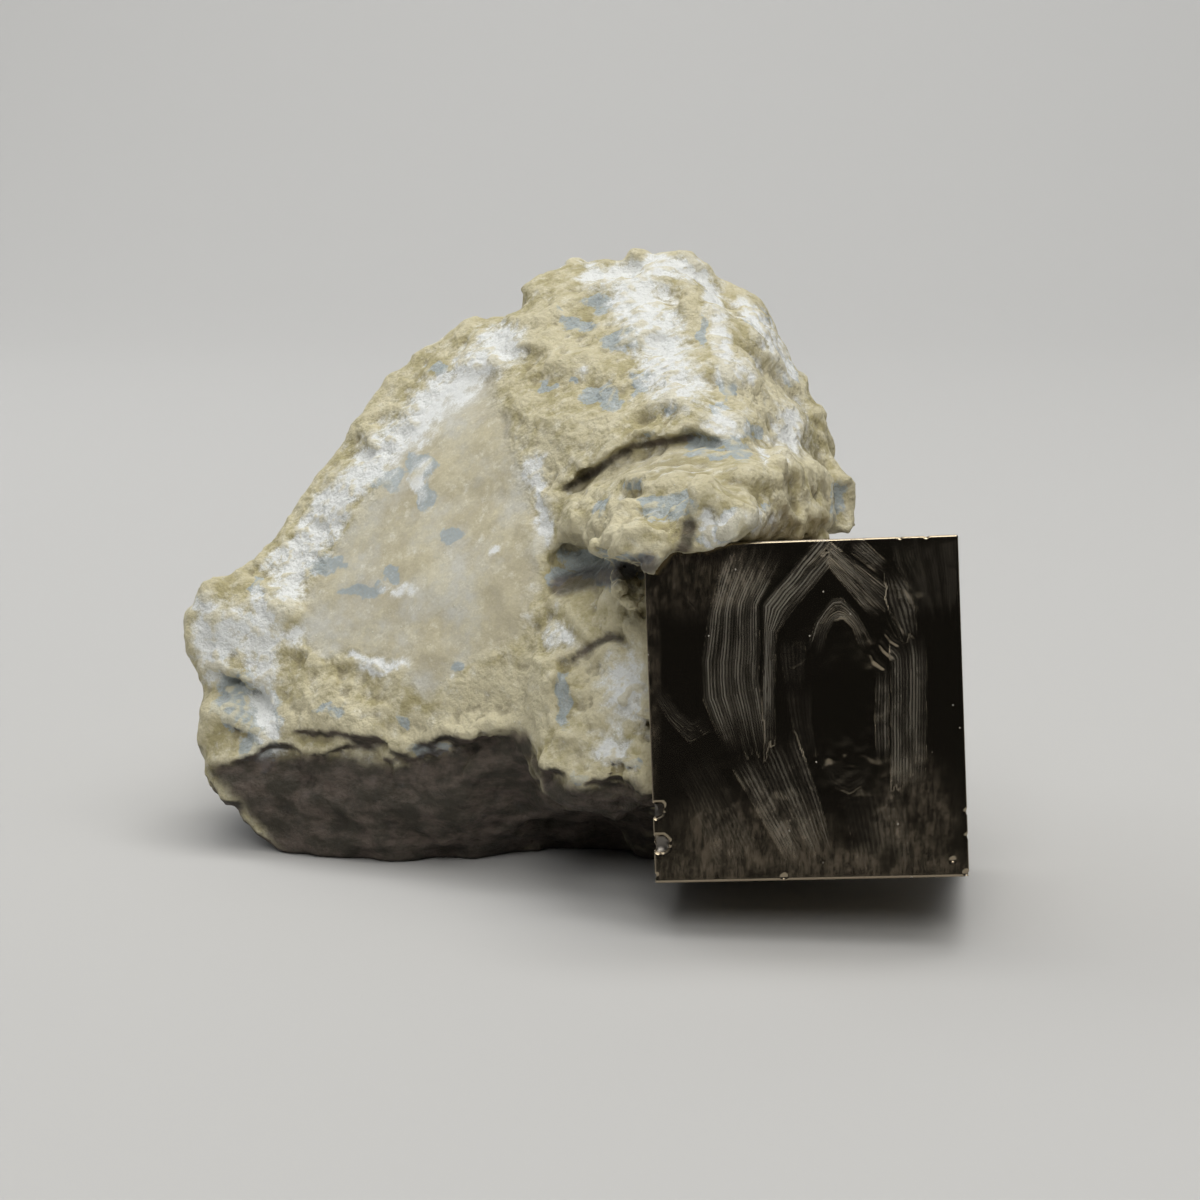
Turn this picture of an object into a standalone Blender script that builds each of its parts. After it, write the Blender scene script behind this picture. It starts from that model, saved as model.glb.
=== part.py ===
"""Pyrite specimen: one pyrite crystal, almost a cube, grown in the corner of a broken block of marl.

A hand specimen about 50 mm wide, seen from the front with X to the right, Y away from the viewer
and Z up. Its corners are laid out in millimetres, with Y = 0 at the middle of the crystal's front
face and Z = 0 on the flat broken face that it rests on. Both pieces are then moved together, so
that the origin is the middle of the specimen's base.
"""

import math

import bmesh
import bpy
import numpy as np
from mathutils import Matrix, Vector, kdtree, noise

MM = 0.001

# The crystal: its edges, how it leans in the rock, and the middle of its front face
CRYSTAL_WIDTH = 18.0
CRYSTAL_HEIGHT = 19.5
CRYSTAL_DEPTH = 18.0
CRYSTAL_FRONT = Vector((11.77, 0.0, 13.36))
CRYSTAL_YAW = -7.0
CRYSTAL_TILT = -9.0
CRYSTAL_ROLL = -3.1
CRYSTAL_EDGE = 0.14

# Clear space left between the crystal and the socket that it stands in
SOCKET_GAP = 0.3

# Growth terraces sunk in the front face, one inside the other: how far the middle of each pointed
# arch is to the right of the face's middle, its half width, and its bottom, shoulder and tip above
# the face's middle. Each goes down by TERRACE_STEP from the one round it
TERRACES = (
    (1.0, 5.8, -4.6, 6.2, 9.3),
    (1.2, 3.4, -3.4, 5.4, 8.9),
    (1.7, 2.3, -2.8, 3.6, 6.0),
    (2.4, 1.2, -3.2, 2.2, 4.2),
)
TERRACE_STEP = 0.09

# Shape of each arch: half widths of its foot and of its tip as shares of its own, and the height of
# the corners where the foot ends as a share of its bottom
ARCH_FOOT = 0.62
ARCH_TIP = 0.12
ARCH_CORNER = 0.5

# How far in front of the face the cutters of the terraces start
CUTTER_START = 1.0

# Small pits broken out of the left edge of the front face: height above its middle, and radius. The
# middle of each is inside the edge by PIT_INSET of its radius
EDGE_PITS = ((-5.2, 0.62), (-7.9, 0.52))
PIT_INSET = 0.4

# The corners of the broken lumps that the block is made of. Those below Z = 0 are cut off by the base
MAIN_BLOCK = (
    (-21.6, 18.8, 7.4),
    (-16.2, 16.0, 7.8),
    (-9.3, 13.0, 8.3),
    (-3.2, 10.8, 9.6),
    (-3.0, 13.0, 17.8),
    (-3.6, 16.2, 22.6),
    (-6.4, 23.5, 28.8),
    (-5.6, 30.0, 34.0),
    (-23.8, 27.0, 17.0),
    (-20.2, 29.5, 21.4),
    (-17.2, 31.0, 24.9),
    (-14.9, 32.5, 28.8),
    (-12.6, 33.5, 31.4),
    (-8.4, 34.5, 33.4),
    (-20.6, 39.0, 14.0),
    (-12.5, 42.0, 23.0),
    (-4.5, 41.5, 31.0),
    (-20.2, 17.6, -1.5),
    (-12.6, 16.8, -1.5),
    (-5.4, 19.4, -1.5),
    (-19.5, 38.0, -1.5),
    (-2.0, 42.0, -1.5),
    (2.0, 20.6, -1.5),
)
UPPER_BLOCK = (
    (-6.0, 30.0, 34.2),
    (-6.6, 23.5, 28.6),
    (-3.8, 16.0, 22.6),
    (-4.8, 33.0, 36.0),
    (-1.8, 34.0, 37.4),
    (2.0, 33.5, 37.2),
    (5.0, 32.0, 38.6),
    (8.1, 31.5, 36.3),
    (10.8, 31.5, 35.0),
    (11.8, 30.5, 33.2),
    (14.3, 28.0, 29.2),
    (15.4, 26.5, 26.8),
    (14.8, 25.0, 20.0),
    (1.2, 14.2, 27.0),
    (5.6, 12.6, 28.4),
    (8.4, 12.0, 28.0),
    (-3.0, 41.5, 33.0),
    (7.0, 42.0, 31.0),
    (13.5, 38.0, 22.0),
    (14.0, 37.0, 8.0),
    (6.0, 43.0, 6.0),
    (10.0, 20.0, 8.0),
    (-3.0, 14.0, 12.0),
    (9.0, 39.0, -1.5),
    (12.5, 28.0, -1.5),
    (9.5, 14.5, -1.5),
    (2.5, 17.0, -1.5),
)
BACK_BLOCK = (
    (-19.2, 38.5, 15.0),
    (-11.5, 41.5, 24.5),
    (-4.5, 40.5, 32.4),
    (2.0, 40.0, 34.0),
    (8.0, 39.0, 31.6),
    (13.4, 36.5, 23.0),
    (-18.8, 39.0, 3.0),
    (-7.0, 44.6, 12.0),
    (3.0, 44.0, 16.0),
    (12.8, 38.5, 8.0),
    (-16.5, 38.5, -1.5),
    (-3.0, 43.0, -1.5),
    (9.0, 40.0, -1.5),
    (0.0, 25.0, 15.0),
    (-8.0, 26.0, 4.0),
)
CORNER_BLOCK = (
    (-4.0, 7.4, 8.2),
    (-1.4, 4.8, 7.0),
    (2.5, 3.4, 8.2),
    (5.0, 3.0, 8.4),
    (-3.4, 10.4, 14.0),
    (-2.6, 13.6, 18.4),
    (0.4, 12.4, 19.8),
    (2.6, 9.8, 20.0),
    (5.0, 9.0, 20.4),
    (5.0, 22.0, 20.0),
    (5.0, 20.0, 1.0),
    (-5.0, 19.0, 2.0),
    (-5.0, 22.0, 20.0),
)
SHOULDER = (
    (-3.4, 15.6, 21.4),
    (-1.0, 11.4, 21.8),
    (1.0, 7.4, 22.0),
    (3.4, 3.0, 22.4),
    (8.4, 1.6, 23.4),
    (1.0, 9.0, 25.2),
    (4.6, 5.6, 25.8),
    (8.6, 4.4, 26.4),
    (9.8, 3.6, 24.4),
    (10.4, 8.0, 27.0),
    (12.0, 12.0, 25.4),
    (13.2, 13.5, 21.0),
    (14.8, 21.0, 24.8),
    (15.0, 22.0, 19.5),
    (2.0, 22.0, 27.0),
    (12.0, 26.0, 26.0),
    (0.0, 20.0, 19.0),
)
CORNER_LIP = (
    (1.4, 3.4, 18.2),
    (2.8, 0.8, 18.8),
    (4.2, 0.4, 21.2),
    (5.0, 0.4, 22.8),
    (2.0, 0.8, 23.8),
    (0.2, 3.8, 21.4),
    (0.8, 6.6, 23.8),
    (4.6, 4.4, 24.6),
    (4.8, 8.0, 20.0),
    (0.0, 9.0, 21.0),
)
CRUST = (
    (5.5, 0.3, 21.1),
    (7.8, 0.0, 21.6),
    (9.0, 0.1, 22.4),
    (8.8, 0.3, 24.0),
    (7.0, 0.1, 25.2),
    (5.3, 0.6, 25.0),
    (5.0, 5.0, 22.0),
    (9.2, 5.0, 23.0),
    (8.6, 5.0, 26.2),
    (4.8, 5.0, 26.0),
)
LEFT_KNOB = (
    (-27.6, 24.0, 14.6),
    (-27.2, 23.4, 12.0),
    (-26.2, 24.6, 16.4),
    (-23.6, 25.6, 17.4),
    (-20.6, 27.5, 20.2),
    (-17.0, 22.0, 9.0),
    (-25.8, 22.4, 9.6),
    (-25.8, 21.4, 7.2),
    (-21.6, 20.2, 9.0),
    (-20.0, 21.6, 15.6),
    (-26.0, 32.0, 13.0),
    (-24.0, 31.0, 6.0),
    (-18.0, 32.0, 9.0),
    (-18.0, 32.0, 16.0),
)
LEFT_FOOT = (
    (-26.2, 20.6, 6.8),
    (-25.6, 19.6, 4.8),
    (-23.8, 19.0, 2.8),
    (-21.8, 18.4, 1.0),
    (-20.6, 18.0, 0.0),
    (-25.2, 21.0, 9.6),
    (-21.6, 18.4, 8.2),
    (-24.0, 30.0, 3.0),
    (-24.0, 30.0, 8.0),
    (-17.0, 30.0, 0.5),
    (-16.0, 22.0, 1.0),
    (-17.0, 28.0, 9.0),
)
RIGHT_LOBE = (
    (14.8, 24.5, 26.2),
    (16.0, 24.0, 24.0),
    (16.4, 23.5, 22.2),
    (16.0, 22.5, 19.8),
    (12.0, 20.0, 20.0),
    (11.0, 24.0, 25.0),
    (16.0, 30.0, 22.0),
    (12.0, 31.0, 18.0),
)
LUMPS = {
    "main block": MAIN_BLOCK,
    "upper block": UPPER_BLOCK,
    "back block": BACK_BLOCK,
    "corner block": CORNER_BLOCK,
    "shoulder": SHOULDER,
    "corner lip": CORNER_LIP,
    "crust": CRUST,
    "left knob": LEFT_KNOB,
    "left foot": LEFT_FOOT,
    "right lobe": RIGHT_LOBE,
}

# Fine mesh that the lumps are fused into, and the faces that are left once it is carved
FUSE_VOXEL = 0.62
ROUNDING_STEPS = 3
ROCK_FACES = 7600

# Steps in the rock's front, each along a line of (X, Z) points from left to right. Below the line
# the surface drops back by the first number, and comes out again over the second. Above it a lip
# stands proud by the third
STEPS = {
    "upper overhang": (((-2.4, 23.8), (0.0, 25.6), (2.4, 27.0), (5.6, 27.8), (8.6, 26.8)), 1.7, 2.4, 0.5),
    "lower crevice": (((-3.6, 19.4), (-1.2, 20.6), (1.4, 21.6), (3.4, 22.2)), 2.0, 1.6, 0.5),
    "corner notch": (((-3.6, 17.2), (-1.6, 16.4), (-0.2, 14.8), (0.6, 13.0)), 0.8, 2.0, 0.2),
    "ledge": (((-21.8, 7.8), (-16.2, 8.2), (-12.6, 7.5), (-9.0, 8.6), (-4.4, 9.9)), 1.1, 3.2, 0.5),
    "corner ledge": (((-3.8, 8.2), (-1.2, 7.2), (2.6, 8.2)), 1.2, 2.4, 0.4),
    "left hollow": (((-26.4, 10.8), (-23.6, 11.0), (-21.2, 10.0)), 1.0, 2.4, 0.3),
}

# How a step fades: the curve of the drop below it, the height of its lip as a share of the reach, the
# share of its length over which it dies out at each end, and how far a surface has to face forward
STEP_CURVE = 1.4
LIP_SHARE = 0.6
STEP_END_FADE = (-0.05, 0.15)
FACING_FADE = (-0.3, 0.2)

# Roughness of the broken surface: size of each swell and how far it moves the surface, then the flat
# chips between them. The large face on the left of the front is much smoother than the rest
SWELLS = ((9.0, 0.5), (4.0, 0.4), (2.0, 0.2))
CHIP_SEED = 11
CHIP_SIZE = 3.6
CHIP_TILT = 0.22
CHIP_LIMIT = 0.5
CHIP_SPACE_LOW = Vector((-30.0, -4.0, -4.0))
CHIP_SPACE_HIGH = Vector((20.0, 46.0, 42.0))
SMOOTH_FACE_MIDDLE = Vector((-12.0, 22.0, 20.0))
SMOOTH_FACE_NORMAL = Vector((-0.5, -0.65, 0.57))
SMOOTH_FACE_LEAN_FADE = (0.6, 0.8)
SMOOTH_FACE_EDGE_FADE = (18.75, 11.25)
SMOOTH_FACE_SHARE = 0.25

# Colours as linear red, green and blue, and roughnesses
MARL_COLOUR = (0.44, 0.38, 0.25)
MARL_ROUGHNESS = 0.85
PYRITE_COLOUR = (0.30, 0.25, 0.17)
PYRITE_ROUGHNESS = 0.22


def ramp(value, start, end):
    """0 at the start, 1 at the end and beyond it, and straight between them."""
    return np.clip((value - start) / (end - start), 0.0, 1.0)


def clear_scene():
    for obj in list(bpy.data.objects):
        bpy.data.objects.remove(obj, do_unlink=True)


def material(name, colour, roughness, metallic):
    made = bpy.data.materials.new(name)
    made.use_nodes = True
    shader = made.node_tree.nodes["Principled BSDF"]
    shader.inputs["Base Color"].default_value = (*colour, 1.0)
    shader.inputs["Roughness"].default_value = roughness
    shader.inputs["Metallic"].default_value = metallic
    return made


def add_object(name, shape):
    """An object of the bmesh given, at the origin."""
    mesh = bpy.data.meshes.new(name)
    shape.to_mesh(mesh)
    shape.free()
    obj = bpy.data.objects.new(name, mesh)
    bpy.context.scene.collection.objects.link(obj)
    return obj


def hidden_cutter(name, shape):
    cutter = add_object(name, shape)
    cutter.hide_render = True
    cutter.display_type = "WIRE"
    return cutter


def cut_away(obj, name, cutter):
    cut = obj.modifiers.new(name, "BOOLEAN")
    cut.operation = "DIFFERENCE"
    cut.object = cutter


def crystal_frame():
    """From the crystal's own axes, with its origin at the middle of its front face, to the specimen."""
    turn = (
        Matrix.Rotation(math.radians(CRYSTAL_YAW), 4, "Z")
        @ Matrix.Rotation(math.radians(CRYSTAL_TILT), 4, "X")
        @ Matrix.Rotation(math.radians(CRYSTAL_ROLL), 4, "Y")
    )
    return Matrix.Translation(CRYSTAL_FRONT) @ turn


def crystal_block(grow):
    """A block of the crystal's size, larger by grow on every side, in its own axes."""
    shape = bmesh.new()
    bmesh.ops.create_cube(shape, size=1.0)
    size = Vector((CRYSTAL_WIDTH, CRYSTAL_DEPTH, CRYSTAL_HEIGHT)) + Vector((2 * grow,) * 3)
    for vert in shape.verts:
        vert.co = Vector(a * b for a, b in zip(vert.co, size)) + Vector((0, CRYSTAL_DEPTH / 2, 0))
    return shape


def terrace_cutter(level, arch, place):
    """A prism in the form of a pointed arch, standing in the front face to the depth of its level."""
    middle, half_width, bottom, shoulder, tip = arch
    right_side = (
        (ARCH_FOOT * half_width, bottom),
        (half_width, ARCH_CORNER * bottom),
        (half_width, shoulder),
        (ARCH_TIP * half_width, tip),
    )
    outline = [(middle + x, z) for x, z in right_side]
    outline += [(middle - x, z) for x, z in reversed(right_side)]
    shape = bmesh.new()
    front = [shape.verts.new((x, -CUTTER_START, z)) for x, z in outline]
    back = [shape.verts.new((x, TERRACE_STEP * level, z)) for x, z in outline]
    shape.faces.new(front)
    shape.faces.new(back[::-1])
    for i in range(len(outline)):
        j = (i + 1) % len(outline)
        shape.faces.new((front[i], back[i], back[j], front[j]))
    bmesh.ops.recalc_face_normals(shape, faces=shape.faces)
    shape.transform(place)
    return hidden_cutter(f"terrace_cutter_{level}", shape)


def pit_cutter(index, height, radius, place):
    """A small ball standing in the left edge of the front face."""
    shape = bmesh.new()
    bmesh.ops.create_icosphere(shape, subdivisions=1, radius=radius)
    middle = (-CRYSTAL_WIDTH / 2 + PIT_INSET * radius, 0.0, height)
    shape.transform(place @ Matrix.Translation(middle))
    return hidden_cutter(f"pit_cutter_{index}", shape)


def build_crystal(place):
    shape = crystal_block(0.0)
    bmesh.ops.bevel(shape, geom=list(shape.edges), offset=CRYSTAL_EDGE, segments=1, affect="EDGES")
    shape.transform(place)
    crystal = add_object("pyrite_cube", shape)
    for level, arch in enumerate(TERRACES, start=1):
        cut_away(crystal, f"growth terrace {level}", terrace_cutter(level, arch, place))
    for index, (height, radius) in enumerate(EDGE_PITS, start=1):
        cut_away(crystal, f"edge pit {index}", pit_cutter(index, height, radius, place))
    crystal.data.materials.append(material("pyrite", PYRITE_COLOUR, PYRITE_ROUGHNESS, 1.0))
    return crystal


def lump(corners):
    """The convex lump with these corners."""
    shape = bmesh.new()
    for corner in corners:
        shape.verts.new(corner)
    made = bmesh.ops.convex_hull(shape, input=list(shape.verts))
    inside = {part for part in made["geom_interior"] if isinstance(part, bmesh.types.BMVert)}
    bmesh.ops.delete(shape, geom=list(inside), context="VERTS")
    bmesh.ops.recalc_face_normals(shape, faces=shape.faces)
    return shape


def fused_lumps():
    """All the lumps as one closed fine mesh, with its edges rounded a little."""
    joined = bmesh.new()
    for corners in LUMPS.values():
        part = lump(corners)
        mesh = bpy.data.meshes.new("lump")
        part.to_mesh(mesh)
        part.free()
        joined.from_mesh(mesh)
        bpy.data.meshes.remove(mesh)
    block = add_object("rough_block", joined)
    fuse = block.modifiers.new("fuse", "REMESH")
    fuse.mode = "VOXEL"
    fuse.voxel_size = FUSE_VOXEL
    rounding = block.modifiers.new("rounding", "SMOOTH")
    rounding.iterations = ROUNDING_STEPS
    return apply_modifiers(block)


def apply_modifiers(obj):
    """Puts the mesh that the modifiers make in place of the object's own."""
    graph = bpy.context.evaluated_depsgraph_get()
    mesh = bpy.data.meshes.new_from_object(obj.evaluated_get(graph))
    obj.modifiers.clear()
    obj.data = mesh
    return obj


def outer_shell(shape):
    """Leaves the largest of the shape's shells, so that no closed hollow between lumps stays in it."""
    left = set(shape.verts)
    shells = []
    while left:
        shell = {left.pop()}
        edge = set(shell)
        while edge:
            edge = {e.other_vert(v) for v in edge for e in v.link_edges} - shell
            shell |= edge
        left -= shell
        shells.append(shell)
    largest = max(shells, key=len)
    others = [v for v in shape.verts if v not in largest]
    bmesh.ops.delete(shape, geom=others, context="VERTS")


def points_and_normals(mesh):
    count = len(mesh.vertices)
    points = np.empty(count * 3)
    normals = np.empty(count * 3)
    mesh.vertices.foreach_get("co", points)
    mesh.vertices.foreach_get("normal", normals)
    return points.reshape(-1, 3), normals.reshape(-1, 3)


def side_distance(x, z, line):
    """Each point's distance below the line, negative above it, and its place along the line, 0 to 1."""
    line = np.array(line)
    lengths = np.linalg.norm(np.diff(line, axis=0), axis=1)
    starts = np.concatenate([[0.0], np.cumsum(lengths)])
    nearest = np.full(len(x), np.inf)
    below = np.zeros(len(x))
    along = np.zeros(len(x))
    for i, length in enumerate(lengths):
        step = (line[i + 1] - line[i]) / length
        dx, dz = x - line[i][0], z - line[i][1]
        raw = dx * step[0] + dz * step[1]
        run = np.clip(raw, 0.0, length)
        distance = np.hypot(dx - run * step[0], dz - run * step[1])
        closer = distance < nearest
        side = np.where(dx * step[1] - dz * step[0] > 0, 1.0, -1.0)
        nearest = np.where(closer, distance, nearest)
        below = np.where(closer, distance * side, below)
        along = np.where(closer, (starts[i] + raw) / starts[-1], along)
    return below, along


def carve_steps(points, normals):
    """Pushes the front back below each line of STEPS, and draws a lip forward above it."""
    front = ramp(-normals[:, 1], *FACING_FADE)
    for line, drop, reach, lip in STEPS.values():
        below, along = side_distance(points[:, 0], points[:, 2], line)
        ends = ramp(np.minimum(along, 1.0 - along), *STEP_END_FADE)
        under = np.where(below > 0, ramp(below, reach, 0.0) ** STEP_CURVE, 0.0)
        over = np.where(below <= 0, ramp(below, -LIP_SHARE * reach, 0.0), 0.0)
        points[:, 1] += front * ends * (drop * under - lip * over)


def chip_centres():
    """A seeded scatter of chip centres through the space round the rock, and how each chip leans."""
    spread = CHIP_SPACE_HIGH - CHIP_SPACE_LOW
    count = round(spread.x * spread.y * spread.z / CHIP_SIZE**3)
    random = np.random.default_rng(CHIP_SEED)
    centres = np.array(CHIP_SPACE_LOW) + random.random((count, 3)) * np.array(spread)
    leans = random.uniform(-CHIP_TILT, CHIP_TILT, (count, 3))
    tree = kdtree.KDTree(count)
    for i, centre in enumerate(centres):
        tree.insert(centre, i)
    tree.balance()
    return tree, leans


def roughness_share(place, normal):
    """1 on the broken surface, and SMOOTH_FACE_SHARE on the large smooth face."""
    facing = ramp(normal.dot(SMOOTH_FACE_NORMAL), *SMOOTH_FACE_LEAN_FADE)
    near = ramp((place - SMOOTH_FACE_MIDDLE).length, *SMOOTH_FACE_EDGE_FADE)
    return 1.0 - (1.0 - SMOOTH_FACE_SHARE) * facing * near


def roughen(points, normals):
    """Swells of several sizes, and flat chips, each tilted its own way."""
    tree, leans = chip_centres()
    for i, (point, normal) in enumerate(zip(points, normals)):
        place = Vector(point)
        move = sum(size * noise.noise(place / width + Vector((width, 0, 0))) for width, size in SWELLS)
        centre, index, _ = tree.find(place)
        chip = Vector(leans[index]).dot(place - centre)
        move += max(-CHIP_LIMIT, min(CHIP_LIMIT, chip))
        points[i] += normal * move * roughness_share(place, Vector(normal))


def cut_base(shape):
    """Cuts the rock off flat at Z = 0, the face that it rests on."""
    everything = list(shape.verts) + list(shape.edges) + list(shape.faces)
    cut = bmesh.ops.bisect_plane(
        shape, geom=everything, plane_co=(0, 0, 0), plane_no=(0, 0, 1), clear_inner=True
    )
    rim = [part for part in cut["geom_cut"] if isinstance(part, bmesh.types.BMEdge)]
    bmesh.ops.holes_fill(shape, edges=rim)


def build_rock(place):
    rock = fused_lumps()
    points, normals = points_and_normals(rock.data)
    carve_steps(points, normals)
    roughen(points, normals)
    rock.data.vertices.foreach_set("co", points.ravel())
    thin = rock.modifiers.new("fewer faces", "DECIMATE")
    thin.ratio = ROCK_FACES / (2 * len(rock.data.polygons))
    apply_modifiers(rock)
    shape = bmesh.new()
    shape.from_mesh(rock.data)
    cut_base(shape)
    outer_shell(shape)
    shape.to_mesh(rock.data)
    shape.free()
    rock.name = "matrix_rock"
    shape = crystal_block(SOCKET_GAP)
    shape.transform(place)
    cut_away(rock, "crystal socket", hidden_cutter("socket_cutter", shape))
    apply_modifiers(rock)
    rock.data.materials.clear()
    rock.data.materials.append(material("marl", MARL_COLOUR, MARL_ROUGHNESS, 0.0))
    return rock


def stand_on_origin(objects):
    """Scales everything from millimetres to metres, and puts the origin at the middle of the base,
    whose place in the layout it gives back."""
    bpy.context.view_layer.update()
    graph = bpy.context.evaluated_depsgraph_get()
    corners = []
    for obj in objects:
        mesh = obj.evaluated_get(graph).to_mesh()
        corners += [vert.co.copy() for vert in mesh.vertices]
    low = Vector(min(corner[axis] for corner in corners) for axis in range(3))
    high = Vector(max(corner[axis] for corner in corners) for axis in range(3))
    base = Vector(((low.x + high.x) / 2, (low.y + high.y) / 2, low.z))
    move = Matrix.Scale(MM, 4) @ Matrix.Translation(-base)
    for obj in bpy.data.objects:
        obj.data.transform(move)
    return base


def main():
    clear_scene()
    place = crystal_frame()
    crystal = build_crystal(place)
    rock = build_rock(place)
    return stand_on_origin([crystal, rock])


if __name__ == "__main__":
    main()
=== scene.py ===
"""Pyrite specimen, its looks: the broken marl, and the crystal's mirror faces with their growth steps.

Shapes are worked out in millimetres in the layout of the specimen's solids: X to the right, Y away
from the viewer from the middle of the crystal's front face, and Z up from the base. Markings that
were traced are given by their pixels in the photograph's frame of 1200 x 1200, and are laid on the
surface that shows there.
"""

import itertools
import math

import bpy
import numpy as np
from bpy.props import FloatProperty, FloatVectorProperty, IntProperty, PointerProperty
from mathutils import Matrix, Vector


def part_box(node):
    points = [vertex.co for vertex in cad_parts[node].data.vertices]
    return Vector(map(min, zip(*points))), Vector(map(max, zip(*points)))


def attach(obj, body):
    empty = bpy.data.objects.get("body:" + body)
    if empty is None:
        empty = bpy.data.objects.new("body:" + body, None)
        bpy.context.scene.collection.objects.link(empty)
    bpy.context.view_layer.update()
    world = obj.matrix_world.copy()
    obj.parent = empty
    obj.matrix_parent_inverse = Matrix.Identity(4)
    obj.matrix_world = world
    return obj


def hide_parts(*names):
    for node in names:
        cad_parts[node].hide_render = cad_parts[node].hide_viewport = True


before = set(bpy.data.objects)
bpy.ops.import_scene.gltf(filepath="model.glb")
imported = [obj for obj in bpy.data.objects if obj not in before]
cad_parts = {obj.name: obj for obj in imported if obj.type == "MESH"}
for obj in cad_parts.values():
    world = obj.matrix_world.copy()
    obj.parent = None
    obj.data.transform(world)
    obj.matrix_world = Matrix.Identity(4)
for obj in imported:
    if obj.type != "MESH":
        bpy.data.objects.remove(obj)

bl_info = {
    "name": "Pyrite Specimen",
    "version": (1, 0, 0),
    "blender": (4, 5, 0),
    "location": "View3D > Sidebar > Specimen",
    "description": "Dresses a pyrite crystal on its marl with broken rock, growth steps and a studio",
    "category": "Object",
}

MM = 0.001

# The crystal in the layout: width, depth and height, the middle of its front face, and its turns
# about Z, X and Y
CRYSTAL_SIZE = Vector((18.0, 18.0, 19.5))
CRYSTAL_FRONT = Vector((11.77, 0.0, 13.36))
CRYSTAL_TURNS = (("Z", -7.0), ("X", -9.0), ("Y", -3.1))

# The camera in the layout, looking along Y and down by CAMERA_DIP
CAMERA_PLACE = Vector((0.0, -156.9, 47.44))
CAMERA_DIP = math.radians(10.0)
CAMERA_LENS = 84.0
CAMERA_SENSOR = 36.0
PHOTO_SIDE = 1200


def crystal_axes():
    """The crystal's turns as one."""
    turn = Matrix.Identity(4)
    for axis, degrees in CRYSTAL_TURNS:
        turn = turn @ Matrix.Rotation(math.radians(degrees), 4, axis)
    return turn


CRYSTAL_PLACE = Matrix.Translation(CRYSTAL_FRONT) @ crystal_axes()
CRYSTAL_MIDDLE = CRYSTAL_PLACE @ Vector((0.0, CRYSTAL_SIZE.y / 2, 0.0))


def layout_origin():
    """The layout's origin in the specimen's frame, from where the crystal's solid stands."""
    low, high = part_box("pyrite_cube")
    return (low + high) / 2 - CRYSTAL_MIDDLE * MM


# The size of a photograph's pixel on the specimen, in millimetres
MM_PER_PIXEL = 0.0585

LAYOUT = Matrix.Translation(layout_origin()) @ Matrix.Scale(MM, 4)
ROCK_LOW, ROCK_HIGH = (np.array(LAYOUT.inverted() @ corner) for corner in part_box("matrix_rock"))

# The large smooth face, as it shows in the photograph
SMOOTH_FACE = (
    (296, 628), (318, 572), (352, 520), (392, 462), (424, 410), (470, 366), (492, 372), (508, 420),
    (512, 456), (534, 498), (548, 540), (540, 580), (528, 628), (500, 648), (462, 668), (432, 700),
    (392, 660), (352, 648), (322, 662),
)
# The wall under the ledge, painted dark: mostly painted shade, over its own brown-grey
UNDERSIDE = (
    (204, 768), (258, 756), (300, 754), (345, 754), (394, 766), (450, 750), (480, 737), (528, 733),
    (541, 769), (582, 788), (641, 779), (655, 850), (520, 850), (460, 862), (290, 862), (236, 800),
)

# Lines of the ledge, the crevices and the notch, from left to right. Below a line the surface
# drops back by the first number, in millimetres, and comes out again over the second, and above it a
# lip stands proud by the third
STEPS = {
    "ledge": (
        ((205, 766), (233, 763), (258, 753), (282, 745), (301, 753), (323, 755), (339, 751), (355, 746),
         (371, 750), (394, 764), (417, 758), (434, 755), (451, 748), (480, 735), (501, 729), (528, 731)),
        0.7, 2.2, 0.35,
    ),
    "corner ledge": (((530, 750), (541, 767), (560, 771), (582, 785), (610, 780), (641, 772)), 0.8, 1.6, 0.3),
    "overhang": (
        ((562, 486), (590, 470), (612, 452), (630, 440), (648, 436), (672, 436), (695, 431), (716, 440)),
        1.0, 1.3, 0.45,
    ),
    "under the overhang": (
        ((575, 502), (604, 496), (640, 488), (670, 492), (700, 502), (742, 494)), 0.35, 0.8, 0.2,
    ),
    "lip crack": (((580, 522), (602, 531), (624, 543), (652, 536)), 0.5, 0.7, 0.25),
    "cleft": (((670, 566), (682, 546), (689, 518)), 1.5, 0.7, 0.1),
    "upper edge": (((545, 300), (566, 330), (600, 345), (650, 350)), 0.25, 0.9, 0.15),
    "flank": (((700, 400), (720, 416), (748, 424), (780, 420)), 0.45, 1.0, 0.25),
    "low flank": (((700, 480), (730, 476), (762, 486), (800, 478)), 0.4, 1.0, 0.2),
    "crevice": (
        ((548, 582), (566, 566), (590, 552), (612, 549), (640, 556), (664, 546), (680, 538), (694, 524)),
        0.9, 1.3, 0.3,
    ),
    "notch": (((552, 664), (572, 654), (590, 642), (606, 634), (622, 634), (634, 648)), 0.8, 1.3, 0.35),
    "block's side": (((560, 736), (556, 704), (557, 676), (566, 660)), 0.8, 1.3, 0.3),
    "crack": (((520, 638), (538, 624), (558, 606), (584, 598)), 0.4, 0.8, 0.15),
    "scales": (((566, 676), (590, 690), (612, 700), (640, 694)), 0.35, 0.7, 0.2),
    "lower scales": (((566, 716), (592, 722), (616, 738), (642, 734)), 0.35, 0.7, 0.2),
    "left hollow": (((196, 674), (214, 690), (236, 676), (262, 690), (280, 720)), 0.7, 1.6, 0.25),
    "face's lower edge": (((288, 652), (316, 668), (350, 664), (392, 676), (420, 700)), 0.25, 0.8, 0.2),
    "face's right edge": (((508, 400), (512, 446), (532, 486), (552, 522), (556, 548)), 0.25, 0.7, 0.3),
}

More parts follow.
